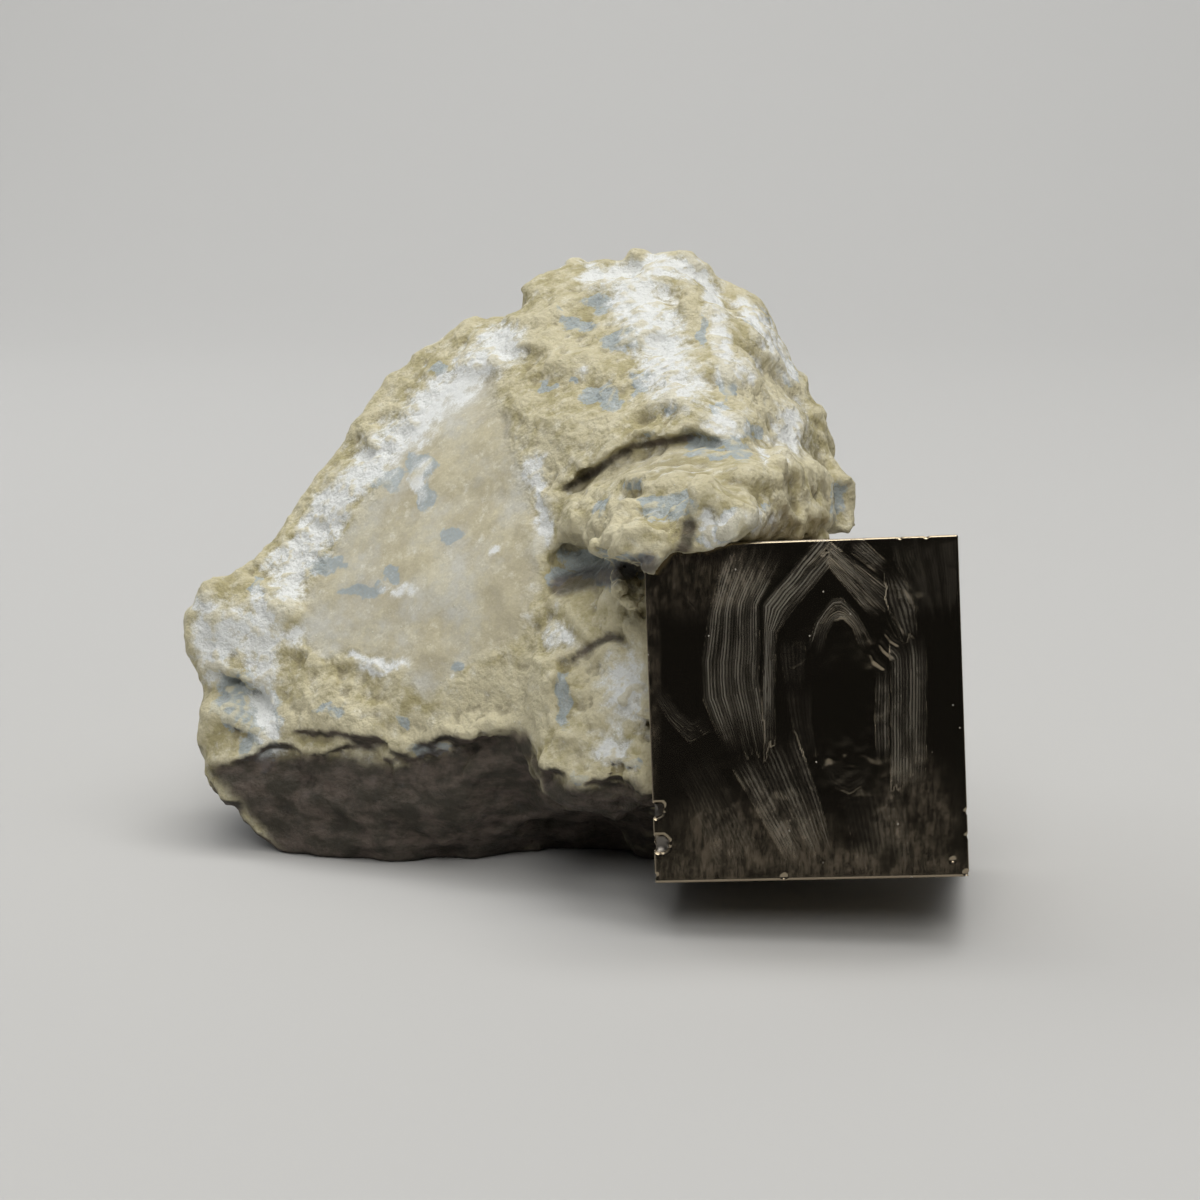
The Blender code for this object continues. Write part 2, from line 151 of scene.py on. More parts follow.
# The marl's edge over the crystal's corner, from left to right, and how far on both sides of it the
# marl is pulled back to it, in pixels: over the crystal, and beside it
LIP_EDGE = (
    (634, 612), (648, 590), (671, 564), (683, 544), (689, 528), (697, 544), (706, 554), (724, 553),
    (752, 538),
)
LIP_OVER = 26.0
LIP_BESIDE = 30.0

# Where the marl beside the crystal's corner is sunk into the crevice, and how deep, in millimetres
SUNKEN_SPOTS = ((610, 573, 24, 11), (632, 581, 11, 12), (631, 600, 9, 8))
SUNKEN_DEPTH = 8.0

# White crust: traced strips with their half widths, and spots with their half widths and heights
CRUST_STRIPS = (
    (((506, 340), (484, 356), (460, 384), (432, 398), (412, 428), (380, 450), (366, 470)), 17),
    (((372, 466), (340, 496), (324, 530), (298, 560), (286, 596)), 15),
    (((352, 476), (322, 500), (296, 540), (270, 566)), 8),
    (((592, 276), (636, 274), (664, 264), (696, 270)), 13),
    (((634, 288), (652, 320), (662, 352), (676, 384)), 27),
    (((700, 272), (716, 300), (722, 340), (724, 370)), 9),
    (((746, 306), (768, 336), (792, 374)), 10),
    (((528, 462), (538, 488), (546, 514), (542, 546)), 8),
    (((206, 606), (204, 640), (214, 668)), 13),
    (((706, 516), (712, 540), (730, 548)), 9),
    (((355, 655), (376, 668), (402, 664)), 6),
    (((262, 600), (264, 650), (262, 700), (272, 742)), 12),
)
CRUST_SPOTS = (
    (503, 350, 17, 15), (490, 337, 9, 9), (530, 470, 12, 13), (543, 542, 8, 8), (583, 375, 4, 4),
    (720, 350, 9, 9), (764, 457, 5, 12), (680, 262, 12, 8), (292, 636, 9, 9), (276, 612, 8, 12),
    (495, 549, 4, 4), (456, 683, 4, 4), (256, 640, 20, 30), (268, 700, 7, 20), (622, 306, 14, 14),
    (420, 480, 10, 16), (400, 590, 14, 5), (726, 522, 14, 10), (745, 372, 14, 12),
    (724, 424, 22, 14), (790, 430, 16, 26), (756, 520, 20, 12),
    (626, 690, 22, 40), (560, 636, 14, 12), (610, 750, 20, 14), (226, 630, 22, 26),
)
# Blue-grey patches where fresh marl shows
SLATE_SPOTS = (
    (384, 479, 17, 11), (420, 467, 13, 12), (425, 495, 9, 10), (452, 535, 10, 7), (329, 565, 19, 8),
    (365, 590, 22, 5), (393, 576, 8, 6), (440, 370, 8, 6), (256, 588, 6, 9), (459, 667, 7, 7),
    (329, 710, 15, 5), (404, 722, 6, 5), (429, 749, 16, 7), (264, 722, 14, 38), (236, 700, 18, 26),
    (602, 303, 16, 8), (577, 325, 14, 7), (625, 340, 20, 10), (667, 340, 6, 4), (603, 397, 18, 10),
    (642, 383, 9, 12), (548, 388, 10, 4), (670, 410, 7, 6), (557, 310, 4, 3), (573, 380, 4, 3),
    (702, 333, 5, 15), (727, 387, 6, 12), (742, 427, 9, 9), (757, 432, 6, 8), (720, 410, 7, 5),
    (723, 443, 18, 6), (717, 457, 10, 4), (653, 430, 7, 3), (635, 485, 9, 5), (600, 507, 7, 8),
    (667, 507, 25, 11), (650, 503, 10, 6), (687, 503, 7, 10), (587, 560, 24, 11), (640, 562, 30, 8),
    (733, 517, 14, 8), (763, 507, 6, 4), (757, 320, 12, 8), (793, 373, 8, 14), (838, 500, 7, 17),
    (600, 566, 34, 11), (642, 566, 22, 10), (272, 726, 8, 22), (250, 748, 12, 10), (632, 762, 12, 4),
    (716, 536, 16, 12), (738, 452, 12, 8), (700, 446, 16, 9), (580, 778, 8, 8), (607, 580, 12, 6),
    (563, 700, 7, 24), (556, 576, 10, 8), (240, 622, 12, 8), (222, 640, 9, 16),
)
# Brown-grey spots, most of them in hollows and under the overhang
EARTH_SPOTS = (
    (234, 704, 14, 24), (268, 740, 16, 16), (496, 372, 10, 6), (670, 440, 26, 6), (600, 466, 20, 6),
    (740, 480, 16, 12), (620, 566, 50, 10), (560, 640, 14, 8), (650, 464, 56, 22), (640, 470, 30, 14),
)
# Paler, creamy parts, and painted light on the marl beside the crystal, which the lip leaves in shade
PALE_AND_LIT_SPOTS = (
    (500, 700, 44, 34), (500, 696, 24, 20), (615, 680, 30, 36), (440, 730, 40, 12), (330, 716, 40, 12),
    (470, 360, 20, 10), (780, 400, 20, 40), (600, 530, 30, 12), (545, 470, 12, 30),
)
# Painted shade in the clefts beside the crystal and under the overhang, with their half widths
CLEFT_SHADE_STRIPS = (
    (((676, 564), (685, 546), (690, 526)), 6),
    (((560, 586), (590, 578), (618, 574), (648, 564)), 9),
    (((566, 488), (592, 474), (614, 458), (634, 446), (690, 438)), 3),
    (((574, 658), (592, 646), (608, 638), (622, 638)), 3),
)

# Terraces sunk in the front face, one inside the other: middle, half width, bottom, shoulder and tip
# of each pointed arch, in millimetres from the face's middle. TERRACE_STEP is how deep one is sunk, and
# TERRACE_FOOT how many times gentler its lower slope is
TERRACES = (
    (1.0, 5.8, -4.6, 6.2, 9.3),
    (1.2, 3.4, -3.4, 5.4, 8.9),
    (1.7, 2.3, -2.8, 3.6, 6.0),
    (2.4, 1.2, -3.2, 2.2, 4.2),
)
TERRACE_STEP = 0.045
TERRACE_FOOT = 5.0

# Bands of fine growth lines on the front face: an outer and an inner traced line, how many growth
# lines lie between them, and how brightly they catch the light, painted into the colour as a glint
GROWTH_BANDS = (
    (((807, 523), (898, 592)), ((812, 549), (880, 630)), 14, 0.8),
    (((842, 506), (762, 605), (762, 762)), ((854, 536), (777, 633), (776, 762)), 9, 1.0),
    (((724, 552), (708, 610), (701, 660), (702, 700), (734, 774)),
     ((796, 542), (760, 606), (760, 680), (770, 756)), 20, 0.86),
    (((806, 646), (815, 620), (831, 598), (843, 597), (858, 614), (874, 642)),
     ((822, 662), (826, 634), (834, 621), (843, 620), (852, 628), (862, 656)), 7, 0.8),
    (((890, 664), (890, 768)), ((875, 664), (875, 762)), 5, 0.9),
    (((927, 570), (927, 800)), ((890, 661), (890, 800)), 12, 0.8),
    (((959, 538), (958, 622)), ((889, 540), (894, 564), (909, 590), (919, 622)), 24, 0.42),
    (((864, 539), (889, 562)), ((833, 540), (887, 582)), 7, 0.65),
    (((889, 538), (892, 564), (908, 585), (916, 608), (918, 650)),
     ((884, 580), (884, 600), (892, 622), (903, 646)), 6, 0.7),
    (((722, 752), (756, 812), (786, 862)), ((800, 740), (818, 790), (838, 860)), 16, 0.6),
    (((819, 761), (828, 785), (849, 797), (866, 785), (876, 764)),
     ((826, 740), (836, 763), (850, 771), (861, 763), (870, 742)), 6, 0.22),
    (((648, 686), (667, 720), (690, 745), (714, 732)),
     ((664, 684), (679, 710), (693, 720), (707, 710)), 7, 0.35),
    (((786, 690), (792, 730), (806, 770)), ((812, 676), (812, 720), (818, 760)), 6, 0.35),
    (((836, 780), (846, 820), (858, 872)), ((900, 770), (908, 820), (914, 872)), 12, 0.22),
    (((668, 760), (690, 800), (716, 866)), ((712, 752), (738, 800), (768, 866)), 12, 0.2),
    (((778, 640), (781, 664), (786, 690)), ((806, 636), (806, 660), (804, 690)), 7, 0.35),
)
# The growth lines' usual spacing, in millimetres
LINE_SPACING = 0.16

# Where the face is hazy and brown
HAZE_SPOTS = (
    (690, 570, 60, 36), (690, 560, 30, 18), (750, 846, 70, 42), (810, 868, 140, 18), (652, 660, 7, 110),
    (915, 812, 34, 44),
)
# Raised growth ridges on the front face: line, half width in pixels and height
RIDGES = (
    (((656, 787), (664, 792), (669, 804), (670, 820)), 2.0, 0.05),
    (((870, 650), (875, 661), (886, 670)), 2.4, 0.030),
    (((878, 640), (885, 650), (894, 658)), 2.4, 0.028),
    (((884, 630), (891, 640), (900, 646)), 2.0, 0.025),
    (((890, 593), (894, 612), (905, 634)), 2.2, 0.026),
    (((884, 602), (890, 622), (899, 640)), 2.0, 0.022),
    (((888, 540), (890, 564), (906, 586), (915, 608)), 2.0, 0.028),
    (((903, 560), (912, 590), (917, 616)), 1.8, 0.024),
    (((684, 596), (694, 606), (705, 624)), 1.2, 0.014),
    (((755, 588), (757, 606), (750, 607)), 1.2, 0.014),
    (((790, 668), (801, 662), (806, 655)), 1.2, 0.010),
)
# Broken pits and nicks along the edges: pixel, radius in millimetres and depth
PITS = (
    (656, 810, 0.50, 0.34), (661, 844, 0.52, 0.30), (784, 877, 0.14, 0.06), (968, 812, 0.20, 0.08),
    (968, 836, 0.15, 0.06), (953, 860, 0.13, 0.05), (967, 874, 0.18, 0.09), (900, 537, 0.12, 0.05),
    (926, 536, 0.11, 0.05), (655, 876, 0.17, 0.08),
)

# Layers of noise, each with its height, the size of its swells in millimetres and its seed. The
# first four are heights in pixels, and the last two in millimetres
STEP_WOBBLE = ((3.0, 1.1, 40), (1.5, 0.5, 41))
BORDER_WOBBLE = ((9.0, 1.5, 63), (5.0, 0.6, 64))
MARKS_WOBBLE = (((7.0, 1.1, 72), (3.0, 0.5, 73)), ((7.0, 1.1, 74), (3.0, 0.5, 75)))
LINE_WOBBLE = ((1.3, 2.6, 90), (0.35, 0.9, 91))
TERRACE_WOBBLE = ((0.22, 1.6, 80), (0.10, 0.6, 81))
FACE_SWELLS = ((0.02, 5.0, 83), (0.005, 1.4, 84))

# Traced spots, strips and ridges fade out at this many times their half widths
SOFT_EDGE = 1.6
# The bedding's dip, and how many times the marl's forms are squeezed along it and across it
BEDDING_DIP = math.radians(-18.0)
BEDDING_STRETCH = (0.7, 0.7, 1.5)
# Sizes of the marl's flakes and crumbs, in millimetres
LARGE_FLAKE = 3.4
SMALL_FLAKE = 1.5
CRUMB = 0.9
# Marl that is nearer to the crystal than SOCKET is laid SOCKET_GAP from it, in millimetres
SOCKET = 0.36
SOCKET_GAP = 0.07
# How far the rock and the crystal's face are from the camera, in millimetres
ROCK_AWAY = 170.0
FACE_AWAY = 160.0
# How many specks of dust there could be to a millimetre
DUST_SCALE = 2.6

# Lights: name, place, what it is turned to, its size, all in metres, and its tint
LIGHTS = (
    ("key", (0.08, -0.09, 0.40), (0.0, 0.0, 0.02), 0.36, (1.0, 0.98, 0.95)),
    ("fill", (-0.30, 0.22, 0.32), (0.0, 0.0, 0.02), 0.30, (0.95, 0.97, 1.0)),
    ("front light", (-0.03, -0.42, 0.34), (0.0, 0.0, 0.02), 0.22, (1.0, 0.99, 0.97)),
    ("backdrop light", (0.0, 0.30, 0.90), (0.0, 1.0, 0.35), 0.6, (1.0, 1.0, 1.0)),
)


def to_array(vector):
    return np.array(vector, float)


def ramp(value, start, end):
    """0 at the start, 1 at the end and beyond it, and eased between them."""
    share = np.clip((value - start) / (end - start), 0.0, 1.0)
    return share * share * (3.0 - 2.0 * share)


def lattice_keys(cells, seed):
    """A seeded number from 0 to 255 for each cell."""
    shuffle = np.random.default_rng(seed).permutation(256)
    keys = shuffle[cells[:, 0] & 255]
    keys = shuffle[(keys + cells[:, 1]) & 255]
    return shuffle[(keys + cells[:, 2]) & 255]


def swell(points, size, seed):
    """Smooth noise, about -1 to 1, with swells of the size given."""
    slopes = np.random.default_rng(seed + 1).normal(size=(256, 3))
    slopes /= np.linalg.norm(slopes, axis=1, keepdims=True)
    scaled = points / size
    cells = np.floor(scaled).astype(np.int64)
    part = scaled - cells
    fade = part**3 * (part * (part * 6.0 - 15.0) + 10.0)
    total = np.zeros(len(points))
    for corner in itertools.product((0, 1), repeat=3):
        corner = np.array(corner)
        slope = slopes[lattice_keys(cells + corner, seed)]
        weight = np.where(corner == 1, fade, 1.0 - fade).prod(axis=1)
        total += weight * ((part - corner) * slope).sum(axis=1)
    return total * 1.6


def layered(points, layers):
    """Swells of several sizes together, each with its own height and seed."""
    return sum(height * swell(points, size, seed) for height, size, seed in layers)


def fractal(points, size, seed, octaves):
    """Swells of one size and of each half of it, each half as high as the last."""
    total = np.zeros(len(points))
    for octave in range(octaves):
        total += swell(points, size / 2**octave, seed + 10 * octave) / 2**octave
    return total


def chips(points, size, seed):
    """Flat chips, each round a seeded centre and with its own lean: the height of each point, in
    shares of the size, how far it is from the next chip, and how far from its own centre."""
    random = np.random.default_rng(seed + 2)
    spread = random.uniform(-0.45, 0.45, (256, 3))
    leans = random.uniform(-1.0, 1.0, (256, 3))
    scaled = points / size
    cells = np.floor(scaled).astype(np.int64)
    nearest = np.full(len(points), np.inf)
    second = np.full(len(points), np.inf)
    height = np.zeros(len(points))
    for shift in itertools.product((-1, 0, 1), repeat=3):
        home = cells + np.array(shift)
        keys = lattice_keys(home, seed)
        gap = scaled - home - 0.5 - spread[keys]
        distance = np.linalg.norm(gap, axis=1)
        closer = distance < nearest
        second = np.where(closer, nearest, np.minimum(second, distance))
        nearest = np.where(closer, distance, nearest)
        height = np.where(closer, (gap * leans[keys]).sum(axis=1), height)
    return height, second - nearest, nearest


def pixels_per_mm(away):
    """How many of the photograph's pixels show one millimetre, so many millimetres away."""
    return CAMERA_LENS / CAMERA_SENSOR * PHOTO_SIDE / away


def photo_place(points):
    """The photograph's pixels at which points of the layout show, across and down."""
    away = points - to_array(CAMERA_PLACE)
    depth = away[:, 1] * math.cos(CAMERA_DIP) - away[:, 2] * math.sin(CAMERA_DIP)
    rise = away[:, 1] * math.sin(CAMERA_DIP) + away[:, 2] * math.cos(CAMERA_DIP)
    scale = pixels_per_mm(depth)
    return PHOTO_SIDE / 2 + away[:, 0] * scale, PHOTO_SIDE / 2 - rise * scale


def facing_camera(points, normals):
    """1 where the surface faces the photograph's camera, 0 where it is turned away."""
    towards = to_array(CAMERA_PLACE) - points
    towards /= np.linalg.norm(towards, axis=1, keepdims=True)
    return ramp((towards * normals).sum(axis=1), 0.0, 0.3)


def inside(across, down, outline):
    """1 for the pixels inside an outline, and 0 outside it."""
    within = np.zeros(len(across), bool)
    for (x0, y0), (x1, y1) in zip(outline, outline[1:] + outline[:1]):
        if y0 == y1:
            continue
        crossing = x0 + (down - y0) * (x1 - x0) / (y1 - y0)
        within ^= ((y0 > down) != (y1 > down)) & (across < crossing)
    return within.astype(float)


def line_distance(across, down, line):
    """Each pixel's distance from a line, with plus below it and minus above, and its place along the
    line, 0 to 1."""
    line = np.array(line, float)
    lengths = np.linalg.norm(np.diff(line, axis=0), axis=1)
    starts = np.concatenate([[0.0], np.cumsum(lengths)])
    nearest = np.full(len(across), np.inf)
    below = np.zeros(len(across))
    along = np.zeros(len(across))
    for i, length in enumerate(lengths):
        step = (line[i + 1] - line[i]) / length
        dx, dy = across - line[i][0], down - line[i][1]
        raw = dx * step[0] + dy * step[1]
        run = np.clip(raw, 0.0, length)
        distance = np.hypot(dx - run * step[0], dy - run * step[1])
        closer = distance < nearest
        side = np.where(dy * step[0] - dx * step[1] > 0, 1.0, -1.0)
        nearest = np.where(closer, distance, nearest)
        below = np.where(closer, distance * side, below)
        along = np.where(closer, (starts[i] + raw) / starts[-1], along)
    return below, along


def spots_share(across, down, spots):
    """How deep each pixel is inside the nearest spot: 1 at its middle, and less further out."""
    share = np.zeros(len(across))
    for x, y, half_width, half_height in spots:
        reach = np.hypot((across - x) / half_width, (down - y) / half_height)
        share = np.maximum(share, 1.0 - reach / SOFT_EDGE)
    return share


def strips_share(across, down, strips):
    """How deep each pixel is inside the nearest strip: 1 on its line, and less further out."""
    share = np.zeros(len(across))
    for line, half_width in strips:
        below, _ = line_distance(across, down, line)
        share = np.maximum(share, 1.0 - np.abs(below) / half_width / SOFT_EDGE)
    return share


def mesh_arrays(mesh):
    """The points and normals of a mesh as arrays."""
    points = np.empty(len(mesh.vertices) * 3)
    normals = np.empty(len(mesh.vertices) * 3)
    mesh.vertices.foreach_get("co", points)
    mesh.vertices.foreach_get("normal", normals)
    return points.reshape(-1, 3), normals.reshape(-1, 3)


def put_points(mesh, points):
    mesh.vertices.foreach_set("co", points.ravel())
    mesh.update()


def mesh_edges(mesh):
    edges = np.empty(len(mesh.edges) * 2, np.int32)
    mesh.edges.foreach_get("vertices", edges)
    return edges.reshape(-1, 2)


def averaged(values, edges, rounds):
    """Values on a mesh's points, each averaged with its neighbours so many times."""
    values = values.astype(float)
    ends = np.concatenate([edges[:, 0], edges[:, 1]])
    others = np.concatenate([edges[:, 1], edges[:, 0]])
    count = np.maximum(np.bincount(ends, minlength=len(values)), 1)
    columns = [values] if values.ndim == 1 else list(values.T)
    for _ in range(rounds):
        columns = [
            0.5 * column + 0.5 * np.bincount(ends, column[others], minlength=len(values)) / count
            for column in columns
        ]
    return columns[0] if values.ndim == 1 else np.stack(columns, axis=1)


def keep_values(mesh, name, values):
    """Stores one number for each point, which the material reads by its name."""
    layer = mesh.attributes.new(name, "FLOAT", "POINT")
    layer.data.foreach_set("value", values.astype(np.float32))


def apply_modifiers(piece):
    """Makes a piece's modifiers part of its mesh."""
    graph = bpy.context.evaluated_depsgraph_get()
    mesh = bpy.data.meshes.new_from_object(piece.evaluated_get(graph))
    piece.modifiers.clear()
    piece.data = mesh


def add_piece(name, mesh):
    piece = bpy.data.objects.new(name, mesh)
    bpy.context.scene.collection.objects.link(piece)
    return piece


def set_down(piece):
    """Takes a piece from the layout to its place in the specimen's frame."""
    piece.data.transform(LAYOUT)
    piece.data.shade_smooth()


def crystal_distance(points):
    """How far points of the layout are outside the crystal, and which way leads away from it."""
    frame_of_crystal = np.array(CRYSTAL_PLACE.inverted())
    local = points @ frame_of_crystal[:3, :3].T + frame_of_crystal[:3, 3]
    local[:, 1] -= CRYSTAL_SIZE.y / 2
    gap = np.abs(local) - to_array(CRYSTAL_SIZE) / 2
    outside = np.maximum(gap, 0.0)
    distance = np.linalg.norm(outside, axis=1)
    inner = gap.max(axis=1)
    nearest_side = np.where(gap == gap.max(axis=1, keepdims=True), 1.0, 0.0)
    way = np.where(distance[:, None] > 0, outside, nearest_side) * np.where(local < 0, -1.0, 1.0)
    way /= np.linalg.norm(way, axis=1, keepdims=True)
    way = way @ np.array(crystal_axes())[:3, :3].T
    return np.where(distance > 0, distance, inner), way


def node(tree, kind, inputs=None, **settings):
    """A shader node with these settings, its inputs given as values or as sockets to link."""
    made = tree.nodes.new(kind)
    for name, value in settings.items():
        setattr(made, name, value)
    for name, value in (inputs or {}).items():
        feed(tree, made.inputs[name], value)
    return made


def feed(tree, socket, value):
    if isinstance(value, bpy.types.NodeSocket):
        tree.links.new(value, socket)
    else:
        socket.default_value = value


def calculate(tree, operation, first, second=0.0):
    return node(tree, "ShaderNodeMath", {0: first, 1: second}, operation=operation).outputs[0]


def plus(tree, first, second):
    return calculate(tree, "ADD", first, second)


def minus(tree, first, second):
    return calculate(tree, "SUBTRACT", first, second)


def times(tree, first, second):
    return calculate(tree, "MULTIPLY", first, second)


def stretched(tree, place, stretch):
    """A place with each of its parts multiplied."""
    return node(tree, "ShaderNodeVectorMath", {0: place, 1: stretch}, operation="MULTIPLY").outputs[0]


def mix_colours(tree, share, first, second):
    return node(tree, "ShaderNodeMix", {0: share, 6: first, 7: second}, data_type="RGBA").outputs[2]


def eased(tree, value, start, end, low=0.0, high=1.0):
    inputs = {"Value": value, "From Min": start, "From Max": end, "To Min": low, "To Max": high}
    return node(tree, "ShaderNodeMapRange", inputs, interpolation_type="SMOOTHSTEP").outputs[0]


def stored(tree, name):
    """The number that a mesh's points store under this name."""
    return node(tree, "ShaderNodeAttribute", attribute_name=name).outputs["Fac"]


def grain(tree, place, scale, detail=3.0, roughness=0.55):
    inputs = {"Vector": place, "Scale": scale, "Detail": detail, "Roughness": roughness}
    return node(tree, "ShaderNodeTexNoise", inputs).outputs[0]


def place_in_mm(tree):
    """The place on the piece in millimetres."""
    place = node(tree, "ShaderNodeTexCoord").outputs["Object"]
    inputs = {"Vector": place, "Scale": 1 / MM}
    return node(tree, "ShaderNodeVectorMath", inputs, operation="SCALE").outputs[0]


def new_group(name, inputs, outputs):
    """An empty node group with these number sockets, and its two end nodes."""
    group = bpy.data.node_groups.new(name, "ShaderNodeTree")
    for socket, kind in inputs:
        group.interface.new_socket(socket, in_out="INPUT", socket_type=kind)
    for socket, kind in outputs:
        group.interface.new_socket(socket, in_out="OUTPUT", socket_type=kind)
    return group, group.nodes.new("NodeGroupInput"), group.nodes.new("NodeGroupOutput")


def dust_group():
    """Specks of dust: a mask of small scattered dots, and their height."""
    found = bpy.data.node_groups.get("dust specks")
    if found:
        return found
    group, given, made = new_group(
        "dust specks",
        (("Place", "NodeSocketVector"), ("Speck Scale", "NodeSocketFloat"), ("Amount", "NodeSocketFloat")),
        (("Mask", "NodeSocketFloat"), ("Height", "NodeSocketFloat")),
    )
    inputs = {"Vector": given.outputs["Place"], "Scale": given.outputs["Speck Scale"]}
    cells = node(group, "ShaderNodeTexVoronoi", inputs)
    chance = node(group, "ShaderNodeSeparateColor", {"Color": cells.outputs["Color"]}).outputs[0]
    rare = calculate(group, "LESS_THAN", chance, given.outputs["Amount"])
    dot = eased(group, cells.outputs["Distance"], 0.15, 0.05)
    mask = times(group, rare, dot)
    group.links.new(mask, made.inputs["Mask"])
    group.links.new(times(group, mask, 0.5), made.inputs["Height"])
    return group


def dust(tree, place, scale, amount):
    """The mask and the height of the dust on a material."""
    made = tree.nodes.new("ShaderNodeGroup")
    made.node_tree = dust_group()
    feed(tree, made.inputs["Place"], place)
    made.inputs["Speck Scale"].default_value = scale
    made.inputs["Amount"].default_value = amount
    return made.outputs["Mask"], made.outputs["Height"]


def add_bump(tree, shader, height, strength, distance):
    inputs = {"Height": height, "Strength": strength, "Distance": distance}
    feed(tree, shader.inputs["Normal"], node(tree, "ShaderNodeBump", inputs).outputs[0])


def new_material(name):
    material = bpy.data.materials.new(name)
    material.use_nodes = True
    return material, material.node_tree, material.node_tree.nodes["Principled BSDF"]


def colour(values):
    return (*values, 1.0)


class RockSettings(bpy.types.PropertyGroup):
    fine_mesh: FloatProperty(
        name="Fine mesh", description="Size of the fine mesh's cells, in millimetres", default=0.24, min=0.15
    )
    triangles: IntProperty(
        name="Triangles", description="Most triangles that the rock keeps", default=192000
    )
    lumps: FloatProperty(name="Lumps", description="Height of the lumps, in millimetres", default=0.24)
    flakes: FloatProperty(
        name="Flakes", description="Height of the flat flakes, in millimetres", default=0.30
    )
    scoops: FloatProperty(
        name="Scoops", description="Depth of the chips' scars, in millimetres", default=0.34
    )
    crumbs: FloatProperty(
        name="Crumbs", description="Height of the small crumbs, in millimetres", default=0.11
    )
    tan: FloatVectorProperty(
        name="Tan", description="Weathered marl", subtype="COLOR", default=(0.415, 0.365, 0.195)
    )
    # cream: paler marl, and also the painted highlight on the marl's convex edges
    cream: FloatVectorProperty(
        name="Cream", description="Paler marl", subtype="COLOR", default=(0.635, 0.58, 0.395)
    )
    grey: FloatVectorProperty(
        name="Grey", description="Film on the smooth face", subtype="COLOR", default=(0.59, 0.58, 0.515)
    )
    buff: FloatVectorProperty(
        name="Buff", description="Film where it is thin", subtype="COLOR", default=(0.50, 0.455, 0.33)
    )
    white: FloatVectorProperty(
        name="White", description="Crust", subtype="COLOR", default=(0.79, 0.805, 0.785)
    )
    slate: FloatVectorProperty(
        name="Slate", description="Fresh blue-grey marl", subtype="COLOR", default=(0.36, 0.41, 0.425)
    )
    # earth_and_shade: the brown of the spots, and painted shade in hollows and on marl facing down
    earth_and_shade: FloatVectorProperty(
        name="Earth", description="Stains in hollows", subtype="COLOR", default=(0.17, 0.145, 0.10)
    )
    # wall and wall_cloud: painted shade on the wall under the ledge, on low marl facing down and in the
    # clefts, over its own brown-grey
    wall: FloatVectorProperty(
        name="Wall", description="Wall under the ledge", subtype="COLOR", default=(0.022, 0.018, 0.015)
    )
    wall_cloud: FloatVectorProperty(
        name="Wall cloud", description="Clouds on the wall", subtype="COLOR", default=(0.10, 0.076, 0.066)
    )


class CrystalSettings(bpy.types.PropertyGroup):
    columns: IntProperty(name="Columns", description="Cells across the front face", default=224)
    rows: IntProperty(name="Rows", description="Cells up the front face", default=242)
    layers: IntProperty(name="Layers", description="Cells from front to back", default=40)
    edge: FloatProperty(name="Edge", description="Radius of the edges, in millimetres", default=0.10)
    bronze: FloatVectorProperty(
        name="Bronze", description="Mirror faces", subtype="COLOR", default=(0.30, 0.25, 0.175)
    )
    # glint_brass: painted glint on the front face's growth lines and edges, and the brassy bands of the other
    # faces
    glint_brass: FloatVectorProperty(
        name="Brass", description="Growth lines", subtype="COLOR", default=(0.36, 0.33, 0.275)
    )
    brown: FloatVectorProperty(
        name="Brown", description="Hazy parts", subtype="COLOR", default=(0.28, 0.22, 0.16)
    )
    broken: FloatVectorProperty(
        name="Broken", description="Broken pits", subtype="COLOR", default=(0.13, 0.125, 0.12)
    )
    specks: FloatVectorProperty(
        name="Specks", description="Dust on the faces", subtype="COLOR", default=(0.62, 0.60, 0.55)
    )


class StageSettings(bpy.types.PropertyGroup):
    floor: FloatVectorProperty(
        name="Floor", description="Colour of the floor", subtype="COLOR", default=(0.50, 0.495, 0.48)
    )
    key_power: FloatProperty(
        name="Key light", description="Power of the large light", unit="POWER", default=0.86
    )
    fill_power: FloatProperty(
        name="Fill light", description="Power of the light behind, on the left", unit="POWER", default=0.40
    )
    front_power: FloatProperty(
        name="Front light", description="Power of the light in front", unit="POWER", default=0.86
    )
    backdrop_power: FloatProperty(
        name="Backdrop light", description="Power of the light on the backdrop", unit="POWER", default=7.0
    )
    sky: FloatProperty(name="Sky", description="Brightness of the light from all round", default=0.20)


def fine_copy(name, cad_node, settings):
    """A fine copy of a node's solid, in the layout."""
    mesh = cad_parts[cad_node].data.copy()
    mesh.transform(LAYOUT.inverted())
    piece = add_piece(name, mesh)
    remesh(piece, settings.fine_mesh, 5)
    return piece


def remesh(piece, size, rounds):
    """Gives a piece an even mesh of the size given, smoothed so many times."""
    even = piece.modifiers.new("even mesh", "REMESH")
    even.mode = "VOXEL"
    even.voxel_size = size
    soften = piece.modifiers.new("soften", "SMOOTH")
    soften.factor = 0.6
    soften.iterations = rounds
    apply_modifiers(piece)


def carve_steps(points, normals, edges):
    """Cuts the ledge, the crevices and the notch, pushing the surface away from the viewer."""
    across, down = photo_place(points)
    wobble = layered(points, STEP_WOBBLE)
    front = facing_camera(points, normals)
    pixels = pixels_per_mm(ROCK_AWAY)
    back = np.zeros(len(points))
    for line, drop, reach, lip in STEPS.values():
        below, along = line_distance(across, down, line)
        below = (below + wobble) / pixels
        ends = ramp(np.minimum(along, 1.0 - along), -0.04, 0.10)
        under = np.where(below > 0, np.clip(1.0 - below / reach, 0.0, 1.0) ** 1.6, 0.0)
        over = np.where(below <= 0, np.clip(1.0 + below / (0.5 * reach), 0.0, 1.0) ** 1.5, 0.0)
        back += front * ends * (drop * under - lip * over)
    points[:, 1] += averaged(back, edges, 2)


